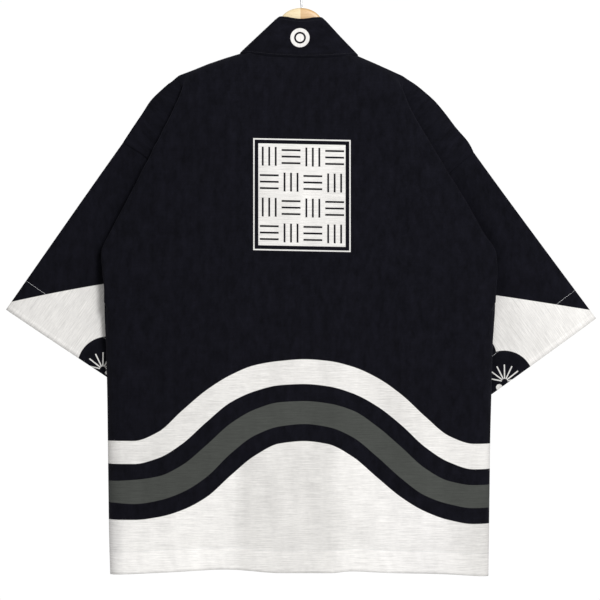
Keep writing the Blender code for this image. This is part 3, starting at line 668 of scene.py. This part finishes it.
def back_prints(tree, u, v):
    """The bands and the hem, and a framed panel of plain basket weave."""
    white, grey, hem = band_masks(tree)
    place_across = add(
        tree, "ShaderNodeMapRange", {"Value": u, "From Min": -HALF_WIDTH * MM, "From Max": HALF_WIDTH * MM}
    )
    # The white hem's colour, with painted light in it: lighter at the left to make up for the light from the
    # right
    hem_tone_and_painted_light = add(tree, "ShaderNodeValToRGB", {"Fac": place_across.outputs[0]})
    stops = hem_tone_and_painted_light.color_ramp.elements
    while len(stops) < len(HEM_TONES_AND_PAINTED_LIGHT):
        stops.new(0.5)
    for stop, (across, code) in zip(stops, HEM_TONES_AND_PAINTED_LIGHT):
        stop.position, stop.color = (across + HALF_WIDTH) / (2 * HALF_WIDTH), colour(code)
    x = add(tree, "ShaderNodeMath", {0: u, 1: FRAME_MIDDLE[0] * MM}, operation="SUBTRACT").outputs[0]
    y = add(tree, "ShaderNodeMath", {0: v, 1: FRAME_MIDDLE[1] * MM}, operation="SUBTRACT").outputs[0]
    # The frame leans a little, as the cloth hangs
    y = add(tree, "ShaderNodeMath", {0: x, 1: FRAME_LEAN, 2: y}, operation="MULTIPLY_ADD").outputs[0]
    wide = add(tree, "ShaderNodeMath", {0: x}, operation="ABSOLUTE").outputs[0]
    tall = add(tree, "ShaderNodeMath", {0: y}, operation="ABSOLUTE").outputs[0]
    beyond_x = add(tree, "ShaderNodeMath", {0: wide, 1: FRAME_HALF[0] * MM}, operation="SUBTRACT").outputs[0]
    beyond_y = add(tree, "ShaderNodeMath", {0: tall, 1: FRAME_HALF[1] * MM}, operation="SUBTRACT").outputs[0]
    beyond = add(tree, "ShaderNodeMath", {0: beyond_x, 1: beyond_y}, operation="MAXIMUM").outputs[0]
    inward = add(tree, "ShaderNodeMath", {0: beyond, 1: -1.0}, operation="MULTIPLY").outputs[0]
    # Three nested edges: the frame's outside, the inside of its white line, and the panel
    nested = []
    for inset in (0, FRAME_LINE, PANEL_INSET):
        inside = add(tree, "ShaderNodeMath", {0: inward, 1: inset * MM}, operation="SUBTRACT").outputs[0]
        nested.append(sharp(tree, inside))
    frame_line = add(tree, "ShaderNodeMath", {0: nested[0], 1: nested[1]}, operation="SUBTRACT").outputs[0]
    # Basket weave: four cells each way, and in each three dark strokes, upright and level by turns
    away, cells = [], []
    for value, half in ((x, FRAME_HALF[0] - PANEL_INSET), (y, FRAME_HALF[1] - PANEL_INSET)):
        steps, off = off_middle(tree, value, half / 2 * MM)
        cells.append(add(tree, "ShaderNodeMath", {0: steps}, operation="FLOOR").outputs[0])
        away.append(off)
    sum_of_cells = add(tree, "ShaderNodeMath", {0: cells[0], 1: cells[1]}, operation="ADD").outputs[0]
    level = add(tree, "ShaderNodeMath", {0: sum_of_cells, 1: 2.0}, operation="FLOORED_MODULO").outputs[0]
    across = add(tree, "ShaderNodeMix", {0: level, 2: away[0], 3: away[1]}).outputs[0]
    along = add(tree, "ShaderNodeMix", {0: level, 2: away[1], 3: away[0]}).outputs[0]
    beside = add(tree, "ShaderNodeMath", {0: across, 1: STROKE_OFF * MM}, operation="SUBTRACT").outputs[0]
    beside = add(tree, "ShaderNodeMath", {0: beside}, operation="ABSOLUTE").outputs[0]
    beside = add(tree, "ShaderNodeMath", {0: beside, 1: across}, operation="MINIMUM").outputs[0]
    beside = add(tree, "ShaderNodeMath", {0: beside, 1: STROKE / 2 * MM}, operation="SUBTRACT").outputs[0]
    past_end = add(tree, "ShaderNodeMath", {0: along, 1: STROKE_HALF * MM}, operation="SUBTRACT").outputs[0]
    clear = add(tree, "ShaderNodeMath", {0: beside, 1: past_end}, operation="MAXIMUM").outputs[0]
    clear = sharp(tree, clear)
    weave = add(tree, "ShaderNodeMath", {0: nested[2], 1: clear}, operation="MULTIPLY").outputs[0]
    framed = add(tree, "ShaderNodeMath", {0: weave, 1: frame_line}, operation="ADD").outputs[0]
    return [(white, OFF_WHITE), (grey, GREY), (hem, hem_tone_and_painted_light.outputs[0]), (framed, OFF_WHITE)]


def band_marks(cloth):
    """How far each point of the cloth lies below each band's edge and below the hem's stitches, in metres."""
    lines = np.array([[line(u / MM) for line in BAND_LINES] for u in cloth[-1, :, 0]])
    below = cloth[:, :, 1, None] - lines[None] * MM
    stitched = cloth[-1:, :, 1, None] - HEM_DEEP * MM
    hem = cloth[:, :, 1, None] - stitched
    none = np.zeros_like(hem)
    return {
        "upper_bands": below[..., :3], "lower_bands": np.concatenate([below[..., 3:], none], axis=2),
        "doubled": np.concatenate([hem, none, none], axis=2),
    }


ROWS, FACE_COLUMNS = 190, 96
levels = [TOP_LEVEL + (LENGTH - TOP_LEVEL) * (k / ROWS) ** 1.2 for k in range(ROWS + 1)]
back_rows, back_cloth = [], []
for level in levels:
    paths = []
    for side in (left, right):
        path = fold_path(side, level)
        paths.append([(side.sign * across, depth, side.sign * mark) for across, depth, mark in path])
    start, end = paths[0][0][0], paths[1][0][0]
    face = []
    for c in range(1, FACE_COLUMNS):
        across = mix(start, end, c / FACE_COLUMNS)
        face.append((across, back_depth(across, level), across))
    line = paths[0][::-1] + face + paths[1]
    back_rows.append([place(across, row_drop(across, level), -depth) for across, depth, mark in line])
    back_cloth.append([(mark * MM, row_drop(across, level) * MM) for across, depth, mark in line])
back_grid, back_cloth = np.array(back_rows), np.array(back_cloth)
back_cotton = slub_cotton("printed_slub_cotton_back", back_prints)
back = sewn_piece("coat_back", back_grid, back_cloth, back_cotton, marks=band_marks(back_cloth))
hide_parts("back")


# The fronts
# The same cloth, cut in one with the back over each shoulder and sewn to the collar band, the armhole and the
# side. The bands run on round the side, lower as they near the collar.

COLLAR_LEAN, COLLAR_SHIFT, LEAN_RUN, NECK_CORNER = 0.018, 2.5, 100, 95
Collar = namedtuple("Collar", "in_across in_drop in_depth out_across out_drop out_depth")
COLLAR = [
    Collar(0, 2.8, -11, 0, -63, -9.5), Collar(25, 2.3, -11, 12, -64, -9.5),
    Collar(50, 1.3, -11, 24, -66, -9.2), Collar(75, -1.0, -10.5, 33, -66.5, -8.5),
    Collar(90, -4.0, -7.5, 37, -65.5, -6),
    Collar(97, -6.5, -1.5, 39, -64, 0), Collar(98, -5.0, 5, 39, -58, 6), Collar(94, 6, 12, 36, -42, 12),
    Collar(86, 33, 18, 28, -8, 19), Collar(75, 85, 24, 16, 52, 25), Collar(68, 145, 27, 7, 120, 29),
    Collar(66, 210, 28, 4, 200, 31), Collar(66, 300, 28, 4, 300, 31), Collar(66, 400, 28, 4, 400, 31),
    Collar(66, 520, 28, 4, 520, 31), Collar(66, 640, 28, 4, 640, 31), Collar(66, 760, 28, 4, 760, 31),
    Collar(66, 879, 28, 4, 879, 31),
]
front_seam = through([band for band in COLLAR if band.in_depth > 0], "in_drop", "in_across")


def front_prints(tree, u, v):
    white, grey, hem = band_masks(tree)
    return [(white, OFF_WHITE), (grey, GREY), (hem, OFF_WHITE)]


def front_grid(side, columns=44):
    sign = side.sign
    inner_top = top_line(sign * NECK_CORNER)
    rows, cloth = [], []
    for level in levels:
        at_neck = level + (inner_top - TOP_LEVEL) * upper_share(level)
        unleaned = at_neck - COLLAR_LEAN * sign * NECK_CORNER * smooth(1 - at_neck / LEAN_RUN)
        inner = front_seam(unleaned) + 0.3
        outer = mix(side.outer(level), side.fold(level), turned_share(level))
        edge = side.armhole.edge_depth(level)
        line, spread = [], []
        for c in range(columns + 1):
            across = mix(inner, outer, (c / columns) ** 0.8)
            full = body_depth(sign * across, level, EDGE)
            share = math.sin(math.pi / 2 * min(1.0, (outer - across) / FRONT_SLOPE))
            drop = row_drop(sign * across, level)
            depth = mix(edge, max(full, edge), share)
            wave = 0.8 * math.sin(across * 0.045) * smooth((level - 520) / 300) * share
            hem = 0.5 * hem_step(sign * across, drop) * share
            line.append(place(sign * across, drop, depth + wave + hem))
            spread.append((sign * across * MM, drop * MM))
        rows.append(line)
        cloth.append(spread)
    return np.array(rows), np.array(cloth)


front_cotton = slub_cotton("printed_slub_cotton_fronts", front_prints)
fronts, front_grids = [], []
for side, name in ((left, "front_left"), (right, "front_right")):
    grid, cloth = front_grid(side)
    made = sewn_piece("coat_" + name, grid, cloth, front_cotton, marks=band_marks(cloth))
    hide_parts(name)
    fronts.append(made)
    front_grids.append(grid)


# The sleeves
# Wide straight sleeves of the same cotton, sewn to the armhole and hanging down and a little forward. Navy
# above and white below, with dark rounds, a fan of white strokes and a dot at the inner corner of each cuff.

LEFT_BEND = [Edge(361, 233), Edge(302, 324)]
RIGHT_BEND = [Edge(360, 251), Edge(302, 326)]
LEFT_CUFF = [Edge(500, 433), Edge(287, 577)]
RIGHT_CUFF = [Edge(507, 448), Edge(292, 606)]
CUFF_HALF, FORWARD, SWING_RUN, UNDERARM_SHARE = 13, 27, 0.3, 0.965
CUFF_HEM, CUFF_FACING = 60, 11
RINGS, AROUND, SLEEVE_HANG = 70, 120, 35
SEAM_TUCK, SEAM_SINK, SEAM_RUN = 1.4, 0.22, 0.02
FAN_STEP, FAN_STROKE, FAN_START, FAN_END = math.radians(26), 2, 5, 29

# white_from, slope and curve give the line between navy and white, from inner_end outwards. A round is its
# middle and radius, fan is the strokes' foot, and dot is its middle and radius.
Print = namedtuple("Print", "white_from slope curve inner_end rounds fan dot")
LEFT_PRINT = Print(388.5, 0.168, 0.18, 332, [(328, 530, 51)], (336, 535), (329, 541, 3.4))
RIGHT_PRINT = Print(407.5, 0.150, 0.05, 331, [(351, 553, 50), (303, 511, 35)], (352, 556), (343, 566, 5.5))


def sleeve_prints(sign, design):
    """The white lower part, the dark rounds on it and the white fan and dot, from the cloth's place."""

    def within_disc(tree, spot, across, drop, radius):
        middle = (across * MM, drop * MM, 0)
        away = add(tree, "ShaderNodeVectorMath", {0: spot, 1: middle}, operation="DISTANCE").outputs["Value"]
        return add(tree, "ShaderNodeMath", {0: radius * MM, 1: away}, operation="SUBTRACT").outputs[0]

    def prints(tree, u, v):
        out = add(tree, "ShaderNodeMath", {0: u, 1: float(sign)}, operation="MULTIPLY").outputs[0]
        spot = add(tree, "ShaderNodeCombineXYZ", {0: out, 1: v}).outputs[0]
        run = add(tree, "ShaderNodeMath", {0: out, 1: design.inner_end * MM}, operation="SUBTRACT").outputs[0]
        edge = add(
            tree, "ShaderNodeMath", {0: run, 1: design.curve, 2: design.slope}, operation="MULTIPLY_ADD"
        ).outputs[0]
        edge = add(
            tree, "ShaderNodeMath", {0: run, 1: edge, 2: design.white_from * MM}, operation="MULTIPLY_ADD"
        ).outputs[0]
        white = sharp(tree, add(tree, "ShaderNodeMath", {0: v, 1: edge}, operation="SUBTRACT").outputs[0])
        inside = within_disc(tree, spot, *design.rounds[0])
        for another in design.rounds[1:]:
            another = within_disc(tree, spot, *another)
            inside = add(tree, "ShaderNodeMath", {0: inside, 1: another}, operation="MAXIMUM").outputs[0]
        dark = sharp(tree, inside)
        # The fan: straight strokes at even angles above its foot, each from FAN_START to FAN_END from it
        foot_across, foot_drop = design.fan
        x = add(tree, "ShaderNodeMath", {0: out, 1: foot_across * MM}, operation="SUBTRACT").outputs[0]
        y = add(tree, "ShaderNodeMath", {0: foot_drop * MM, 1: v}, operation="SUBTRACT").outputs[0]
        from_foot = add(tree, "ShaderNodeCombineXYZ", {0: x, 1: y}).outputs[0]
        reach = add(tree, "ShaderNodeVectorMath", {0: from_foot}, operation="LENGTH").outputs["Value"]
        angle = add(tree, "ShaderNodeMath", {0: y, 1: x}, operation="ARCTAN2").outputs[0]
        aside = off_middle(tree, angle, FAN_STEP)[1]
        aside = add(tree, "ShaderNodeMath", {0: aside, 1: reach}, operation="MULTIPLY").outputs[0]
        half, middle = FAN_STROKE / 2 * MM, (FAN_START + FAN_END) / 2 * MM
        within = add(tree, "ShaderNodeMath", {0: half, 1: aside}, operation="SUBTRACT").outputs[0]
        off = add(tree, "ShaderNodeMath", {0: reach, 1: middle}, operation="SUBTRACT").outputs[0]
        off = add(tree, "ShaderNodeMath", {0: off}, operation="ABSOLUTE").outputs[0]
        ends = add(
            tree, "ShaderNodeMath", {0: (FAN_END - FAN_START) / 2 * MM, 1: off}, operation="SUBTRACT"
        ).outputs[0]
        fan = dark
        for bound in (within, ends, y):
            mask = sharp(tree, bound)
            fan = add(tree, "ShaderNodeMath", {0: fan, 1: mask}, operation="MULTIPLY").outputs[0]
        dot = sharp(tree, within_disc(tree, spot, *design.dot))
        drawn = add(tree, "ShaderNodeMath", {0: fan, 1: dot}, operation="MAXIMUM").outputs[0]
        return [(white, OFF_WHITE), (dark, None), (drawn, OFF_WHITE)]

    return prints


def between(line, share):
    return mix(line[0].across, line[1].across, share), mix(line[0].drop, line[1].drop, share)


def sleeve_wave(along, share, half_turn):
    """Soft creases of a sleeve: slanting from the armhole towards the cuff's lower corner."""
    fan = 1.7 * math.sin(share * 9.0 + along * 2.2) * smooth(along / 0.25) * smooth((1 - along) / 0.35)
    slack = 1.1 * math.sin(share * 17.0 - along * 3.1) * smooth((0.75 - along) / 0.5) * smooth(along / 0.12)
    return (fan + slack) * half_turn


def sleeve_grid(side, bend, cuff):
    rows, cloth = [], []
    for r in range(RINGS + 1):
        along = (r / RINGS) ** 1.1
        swing = FORWARD * math.sin(math.pi / 2 * min(1.0, along / SWING_RUN))
        half = mix(ARMHOLE_DEPTH, CUFF_HALF, smooth(along))
        ring, spread = [], []
        for k in range(AROUND):
            angle = 2 * math.pi * k / AROUND
            share = (1 - math.cos(angle)) / 2
            held = mix(0.004, UNDERARM_SHARE, share)
            start = (side.armhole.out_at_share(held), side.armhole.drop_at_share(held))
            middle, end = between(bend, share), between(cuff, share)
            here = mix(-SEAM_TUCK / 2 / math.dist(start, middle), 1, along)
            point = []
            for n in (0, 1):
                first, second = mix(start[n], middle[n], here), mix(middle[n], end[n], here)
                point.append(mix(first, second, here))
            seam = 1 - SEAM_SINK * math.exp(-((along / SEAM_RUN) ** 2))
            bulge = math.copysign(abs(math.sin(angle)) ** SQUARENESS, math.sin(angle)) * half * seam
            depth = swing * share - bulge + sleeve_wave(along, share, abs(math.sin(angle)))
            ring.append(place(side.sign * point[0], point[1], depth))
            spread.append((side.sign * point[0] * MM, point[1] * MM))
        rows.append(ring)
        cloth.append(spread)
    return np.array(rows), np.array(cloth)


def hem_mark(grid, deep):
    """How far each point lies within a hem of this depth at the grid's last row, in metres."""
    steps = np.linalg.norm(np.diff(grid, axis=0), axis=2)
    to_end = np.concatenate([np.cumsum(steps[::-1], axis=0)[::-1], np.zeros((1, grid.shape[1]))])
    inside = deep * MM - to_end
    return {"doubled": np.stack([inside, 0 * inside, 0 * inside], axis=2)}


sleeves, sleeve_grids = [], []
for side, bend, cuff, design, name in (
    (left, LEFT_BEND, LEFT_CUFF, LEFT_PRINT, "sleeve_left"),
    (right, RIGHT_BEND, RIGHT_CUFF, RIGHT_PRINT, "sleeve_right"),
):
    grid, cloth = sleeve_grid(side, bend, cuff)
    drawn = sleeve_prints(side.sign, design)
    sleeve_cotton = slub_cotton("printed_slub_cotton_" + name, drawn, weft=90 - SLEEVE_HANG * side.sign)
    hem = hem_mark(grid, CUFF_FACING)
    made = sewn_piece("coat_" + name, grid, cloth, sleeve_cotton, ring=True, marks=hem)
    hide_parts(name)
    sleeves.append(made)
    sleeve_grids.append(grid)


# The collar band
# One long band folded over a stiff core, sewn along its inner edge round the neck and down both fronts. It
# is plain navy, with a small white disc at the back of the neck. It laps over the edge it is sewn to.

COLLAR_WALL, COLLAR_WIDE = 2.2, 65
NECK_LAP, CORNER_LAP = 1.6, 3.2
COLLAR_COLUMNS, COLLAR_ROWS = 14, 460
DISC, DISC_RADIUS, RING_RADIUS, RING_HALF, DISC_BEHIND = (1.7, -30.3), 16.3, 8.5, 1.6, 4


def collar_prints(tree, u, v):
    """A white disc with a plain dark ring, on the band's outside at the back of the neck."""
    at = add(tree, "ShaderNodeTexCoord").outputs["Object"]
    middle = place(*DISC, 0)
    flat = add(tree, "ShaderNodeVectorMath", {0: at, 1: (1, 0, 1)}, operation="MULTIPLY").outputs[0]
    away = add(tree, "ShaderNodeVectorMath", {0: flat, 1: middle}, operation="DISTANCE").outputs["Value"]
    depth = add(tree, "ShaderNodeSeparateXYZ", {0: at}).outputs[1]
    behind = add(tree, "ShaderNodeMath", {0: -DISC_BEHIND * MM, 1: depth}, operation="SUBTRACT").outputs[0]
    behind = sharp(tree, behind)
    off_ring = add(tree, "ShaderNodeMath", {0: away, 1: RING_RADIUS * MM}, operation="SUBTRACT").outputs[0]
    off_ring = add(tree, "ShaderNodeMath", {0: off_ring}, operation="ABSOLUTE").outputs[0]
    masks = []
    for reach, distance in ((DISC_RADIUS, away), (RING_HALF, off_ring)):
        inside = add(tree, "ShaderNodeMath", {0: reach * MM, 1: distance}, operation="SUBTRACT").outputs[0]
        inside = sharp(tree, inside)
        masks.append(add(tree, "ShaderNodeMath", {0: inside, 1: behind}, operation="MULTIPLY").outputs[0])
    return [(masks[0], OFF_WHITE), (masks[1], None)]


def collar_ends():
    """The two edges of the band at each row of the table, from one hem round the neck to the other."""
    ends = []
    for sign, bands in ((-1, COLLAR[::-1]), (1, COLLAR[1:])):
        for band in bands:
            pair = []
            for shift, (across, drop, depth) in ((0, band[:3]), (COLLAR_SHIFT, band[3:])):
                upper = smooth(1 - drop / LEAN_RUN)
                lap = smooth((-depth - 2) / 8) if shift == 0 else 0
                corner = smooth((across - 84) / 10) * smooth((9 - depth) / 6) if shift == 0 else 0
                lower = drop + COLLAR_LEAN * sign * across * upper + NECK_LAP * lap + CORNER_LAP * corner
                wide = sign * (across + CORNER_LAP * corner) + shift * upper
                pair.append(place(wide, lower, depth - NECK_LAP * lap))
            ends.append(pair)
    return np.array(ends)


ends = collar_ends()
middles = ends.mean(axis=1)
run = np.concatenate([[0.0], np.cumsum(np.linalg.norm(np.diff(middles, axis=0), axis=1))])
lines = [[through_points(list(run), list(ends[:, edge, n])) for n in range(3)] for edge in (0, 1)]
marks, shares = np.linspace(0, run[-1], COLLAR_ROWS), np.linspace(0, 1, COLLAR_COLUMNS + 1)
collar_rows = []
for mark in marks:
    seam_edge, free_edge = (np.array([line(mark) for line in lines[edge]]) for edge in (0, 1))
    row = seam_edge * (1 - shares[:, None]) + free_edge * shares[:, None]
    # The band sags by half a millimetre here and there between its two edges
    sag = 0.5 * MM * math.sin(mark * 26) * math.sin(mark * 9.1)
    row[:, 1] += sag * np.sin(math.pi * shares)
    collar_rows.append(row)
collar_grid = np.array(collar_rows)
collar_cloth = np.stack(np.broadcast_arrays(shares[None, :] * COLLAR_WIDE * MM, marks[:, None]), axis=-1)
thinning = [0.85] + [1.0] * (COLLAR_COLUMNS - 2) + [0.85, 0.45]
collar_cotton = slub_cotton("slub_cotton_collar", collar_prints)
collar = sewn_piece("coat_collar", collar_grid, collar_cloth, collar_cotton, COLLAR_WALL, thinning=thinning)
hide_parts("collar")


# The sewing
# Lockstitches 3 mm long: white cotton thread along the body's hem and the sleeves' hems, where it shows on
# the navy, and navy thread along the collar band. Each stitch lies half sunk in the cloth, a little apart
# from the next.

THREAD_RADIUS, STITCH_PITCH, STITCH_SHARE, STITCH_LIFT = 0.2, 3, 0.78, 0.05


def cotton_thread(name, low, high):
    """Twisted cotton thread: matt, its shade uneven along each stitch."""
    made, tree, shader = start_material(name)
    at = add(tree, "ShaderNodeTexCoord").outputs["Object"]
    twist = add(tree, "ShaderNodeTexNoise", {"Vector": at, "Scale": 2500.0, "Detail": 1.0})
    tone = add(tree, "ShaderNodeValToRGB", {"Fac": twist.outputs["Fac"]})
    for stop, (position, code) in zip(tone.color_ramp.elements, ((0.3, low), (0.7, high))):
        stop.position, stop.color = position, colour(code)
    tree.links.new(tone.outputs[0], shader.inputs["Base Color"])
    shader.inputs["Roughness"].default_value = 0.8
    return made


thread_white = cotton_thread("white_cotton_thread", "#c6c6c8", "#dededf")
thread_navy = cotton_thread("navy_cotton_thread", "#0c0c12", "#1b1b25")


def stitch_tree():
    """Stitches along a path: short rods at even steps, turned along it."""
    tree = bpy.data.node_groups.new("stitches", "GeometryNodeTree")
    face = tree.interface
    face.new_socket("Path", in_out="INPUT", socket_type="NodeSocketGeometry")
    for name in ("Pitch", "Stitch", "Thread"):
        face.new_socket(name, in_out="INPUT", socket_type="NodeSocketFloat")
    face.new_socket("Finish", in_out="INPUT", socket_type="NodeSocketMaterial")
    face.new_socket("Stitches", in_out="OUTPUT", socket_type="NodeSocketGeometry")
    given = add(tree, "NodeGroupInput").outputs
    steps = add(
        tree, "GeometryNodeCurveToPoints", {"Curve": given["Path"], "Length": given["Pitch"]}, mode="LENGTH"
    )
    stitch = add(
        tree, "GeometryNodeMeshCylinder", {"Vertices": 6, "Radius": given["Thread"], "Depth": given["Stitch"]}
    ).outputs["Mesh"]
    turn = add(tree, "FunctionNodeAlignRotationToVector", {"Vector": steps.outputs["Tangent"]}, axis="Z")
    copies = add(
        tree, "GeometryNodeInstanceOnPoints",
        {"Points": steps.outputs["Points"], "Instance": stitch, "Rotation": turn.outputs[0]},
    )
    real = add(tree, "GeometryNodeRealizeInstances", {"Geometry": copies.outputs[0]})
    done = add(tree, "GeometryNodeSetMaterial", {"Geometry": real.outputs[0], "Material": given["Finish"]})
    add(tree, "NodeGroupOutput", {0: done.outputs[0]})
    return tree


sewing = stitch_tree()


def stitch_along(name, paths, finish):
    """One piece of stitches along polylines of points, made a plain mesh."""
    curve = bpy.data.curves.new(name + "_path", "CURVE")
    curve.dimensions = "3D"
    for points in paths:
        spline = curve.splines.new("POLY")
        spline.points.add(len(points) - 1)
        for point, spot in zip(spline.points, points):
            point.co = (*spot, 1)
    guide = bpy.data.objects.new(name + "_path", curve)
    bpy.context.scene.collection.objects.link(guide)
    modifier = guide.modifiers.new("stitches", "NODES")
    modifier.node_group = sewing
    sockets = {item.name: item.identifier for item in sewing.interface.items_tree if item.in_out == "INPUT"}
    modifier[sockets["Pitch"]] = STITCH_PITCH * MM
    modifier[sockets["Stitch"]] = STITCH_PITCH * STITCH_SHARE * MM
    modifier[sockets["Thread"]] = THREAD_RADIUS * MM
    modifier[sockets["Finish"]] = finish
    evaluated = guide.evaluated_get(bpy.context.evaluated_depsgraph_get())
    mesh = bpy.data.meshes.new_from_object(evaluated)
    guide.modifiers.remove(modifier)
    bpy.data.objects.remove(guide)
    mesh.name = name
    made = bpy.data.objects.new(name, mesh)
    bpy.context.scene.collection.objects.link(made)
    if not mesh.materials:
        mesh.materials.append(finish)
    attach(made, "root")
    return made


def outward(grid, ring=False):
    """A grid's unit normals, pointing out of a ring, or away from the coat's middle plane if it is open."""
    normals = cloth_normals(grid, ring)
    normals = normals / np.linalg.norm(normals, axis=2, keepdims=True)
    middle = grid.mean(axis=1, keepdims=True) if ring else grid * (1, 0, 1)
    return normals if ((grid - middle) * normals).sum() > 0 else -normals


def line_at(grid, normals, wanted, lift):
    """A path across a grid where each column first reaches a wanted run, counted up from its last row."""
    points = []
    for c in range(grid.shape[1]):
        column = grid[::-1, c]
        run = np.concatenate([[0.0], np.cumsum(np.linalg.norm(np.diff(column, axis=0), axis=1))])
        k = min(int(np.searchsorted(run, wanted)), len(run) - 1)
        share = (wanted - run[k - 1]) / (run[k] - run[k - 1])
        spot = column[k - 1] * (1 - share) + column[k] * share
        points.append(spot + normals[::-1, c][k] * lift)
    return points


outer_lift = (WALL / 2 + STITCH_LIFT) * MM
hem_paths = [
    line_at(grid, outward(grid), HEM_DEEP * MM, outer_lift) for grid in (back_grid, *front_grids)
]
hem_stitches = stitch_along("hem_stitches", hem_paths, thread_white)

for grid, name in zip(sleeve_grids, ("left", "right")):
    path = line_at(grid, outward(grid, ring=True), CUFF_HEM * MM, outer_lift)
    stitch_along("cuff_stitches_" + name, [path + path[:1]], thread_white)

collar_normals = outward(collar_grid)
collar_lift = (COLLAR_WALL / 2 + STITCH_LIFT) * MM
collar_paths = []
for column in (1, COLLAR_COLUMNS - 1):
    rim = collar_grid[:, column] + collar_normals[:, column] * collar_lift
    collar_paths.append([tuple(point) for point in rim])
collar_stitches = stitch_along("collar_stitches", collar_paths, thread_navy)


# The studio
# A plain white floor, a white surround that is brighter beyond the coat, and one soft light up and to the
# right of the camera, which stands level behind the coat's back with a long lens.

FLOOR, FLOOR_HALF = -1.4, 2.2
KEY_SPOT, KEY_AIM, KEY_SIZE, KEY_POWER = (0.95, -2.3, 0.9), (0, 0, -0.6), 1.0, 72
# The picture is VIEW_WIDTH wide at CAMERA_AWAY from the camera, BACK_DEPTH behind the coat's middle plane
VIEW_WIDTH, CAMERA_AWAY, BACK_DEPTH, SENSOR = 1.020, 4.0, 0.02, 36
CAMERA_ACROSS, CAMERA_UP = -0.0013, -0.5748
corners = [(x * FLOOR_HALF, y * FLOOR_HALF, FLOOR) for x, y in ((-1, -1), (1, -1), (1, 1), (-1, 1))]
floor_mesh = bpy.data.meshes.new("floor")
floor_mesh.from_pydata(corners, [], [(0, 1, 2, 3)])
floor = bpy.data.objects.new("floor", floor_mesh)
bpy.context.scene.collection.objects.link(floor)
pale, tree, shader = start_material("matt_white_sweep")
at = add(tree, "ShaderNodeTexCoord").outputs["Object"]
paper = add(tree, "ShaderNodeTexNoise", {"Vector": at, "Scale": 3.0, "Detail": 3.0})
paper_tone = add(tree, "ShaderNodeValToRGB", {"Fac": paper.outputs["Fac"]})
for stop, (position, code) in zip(paper_tone.color_ramp.elements, ((0.3, "#efefef"), (0.7, "#f4f4f4"))):
    stop.position, stop.color = position, colour(code)
tree.links.new(paper_tone.outputs[0], shader.inputs["Base Color"])
shader.inputs["Roughness"].default_value = 0.9
floor_mesh.materials.append(pale)

scene = bpy.context.scene
surround = bpy.data.worlds.new("white_surround")
surround.use_nodes = True
tree, glow = surround.node_tree, surround.node_tree.nodes["Background"]
glow.inputs["Color"].default_value = (1, 1, 1, 1)
# The far side of the studio is lit twice as strongly as the near one and photographs as plain white
towards = add(tree, "ShaderNodeTexCoord").outputs["Generated"]
far = add(tree, "ShaderNodeSeparateXYZ", {0: towards}).outputs[1]
lit = add(
    tree, "ShaderNodeMapRange", {0: far, "From Min": 0.6, "From Max": 0.95, "To Min": 0.5, "To Max": 1.02}
)
tree.links.new(lit.outputs[0], glow.inputs["Strength"])
scene.world = surround
scene.view_settings.view_transform = "Standard"
scene.view_settings.look = "None"

key = bpy.data.lights.new("key", "AREA")
key.shape, key.size, key.energy = "DISK", KEY_SIZE, KEY_POWER
lamp = bpy.data.objects.new("key", key)
lamp.location = KEY_SPOT
lamp.rotation_euler = (Vector(KEY_AIM) - Vector(KEY_SPOT)).to_track_quat("-Z", "Y").to_euler()
scene.collection.objects.link(lamp)

camera = bpy.data.objects.new("camera", bpy.data.cameras.new("camera"))
camera.data.sensor_width = SENSOR
camera.data.lens = SENSOR * CAMERA_AWAY / VIEW_WIDTH
camera.location = (CAMERA_ACROSS, -CAMERA_AWAY - BACK_DEPTH, CAMERA_UP)
camera.rotation_euler = (math.pi / 2, 0, 0)
scene.collection.objects.link(camera)
scene.camera = camera
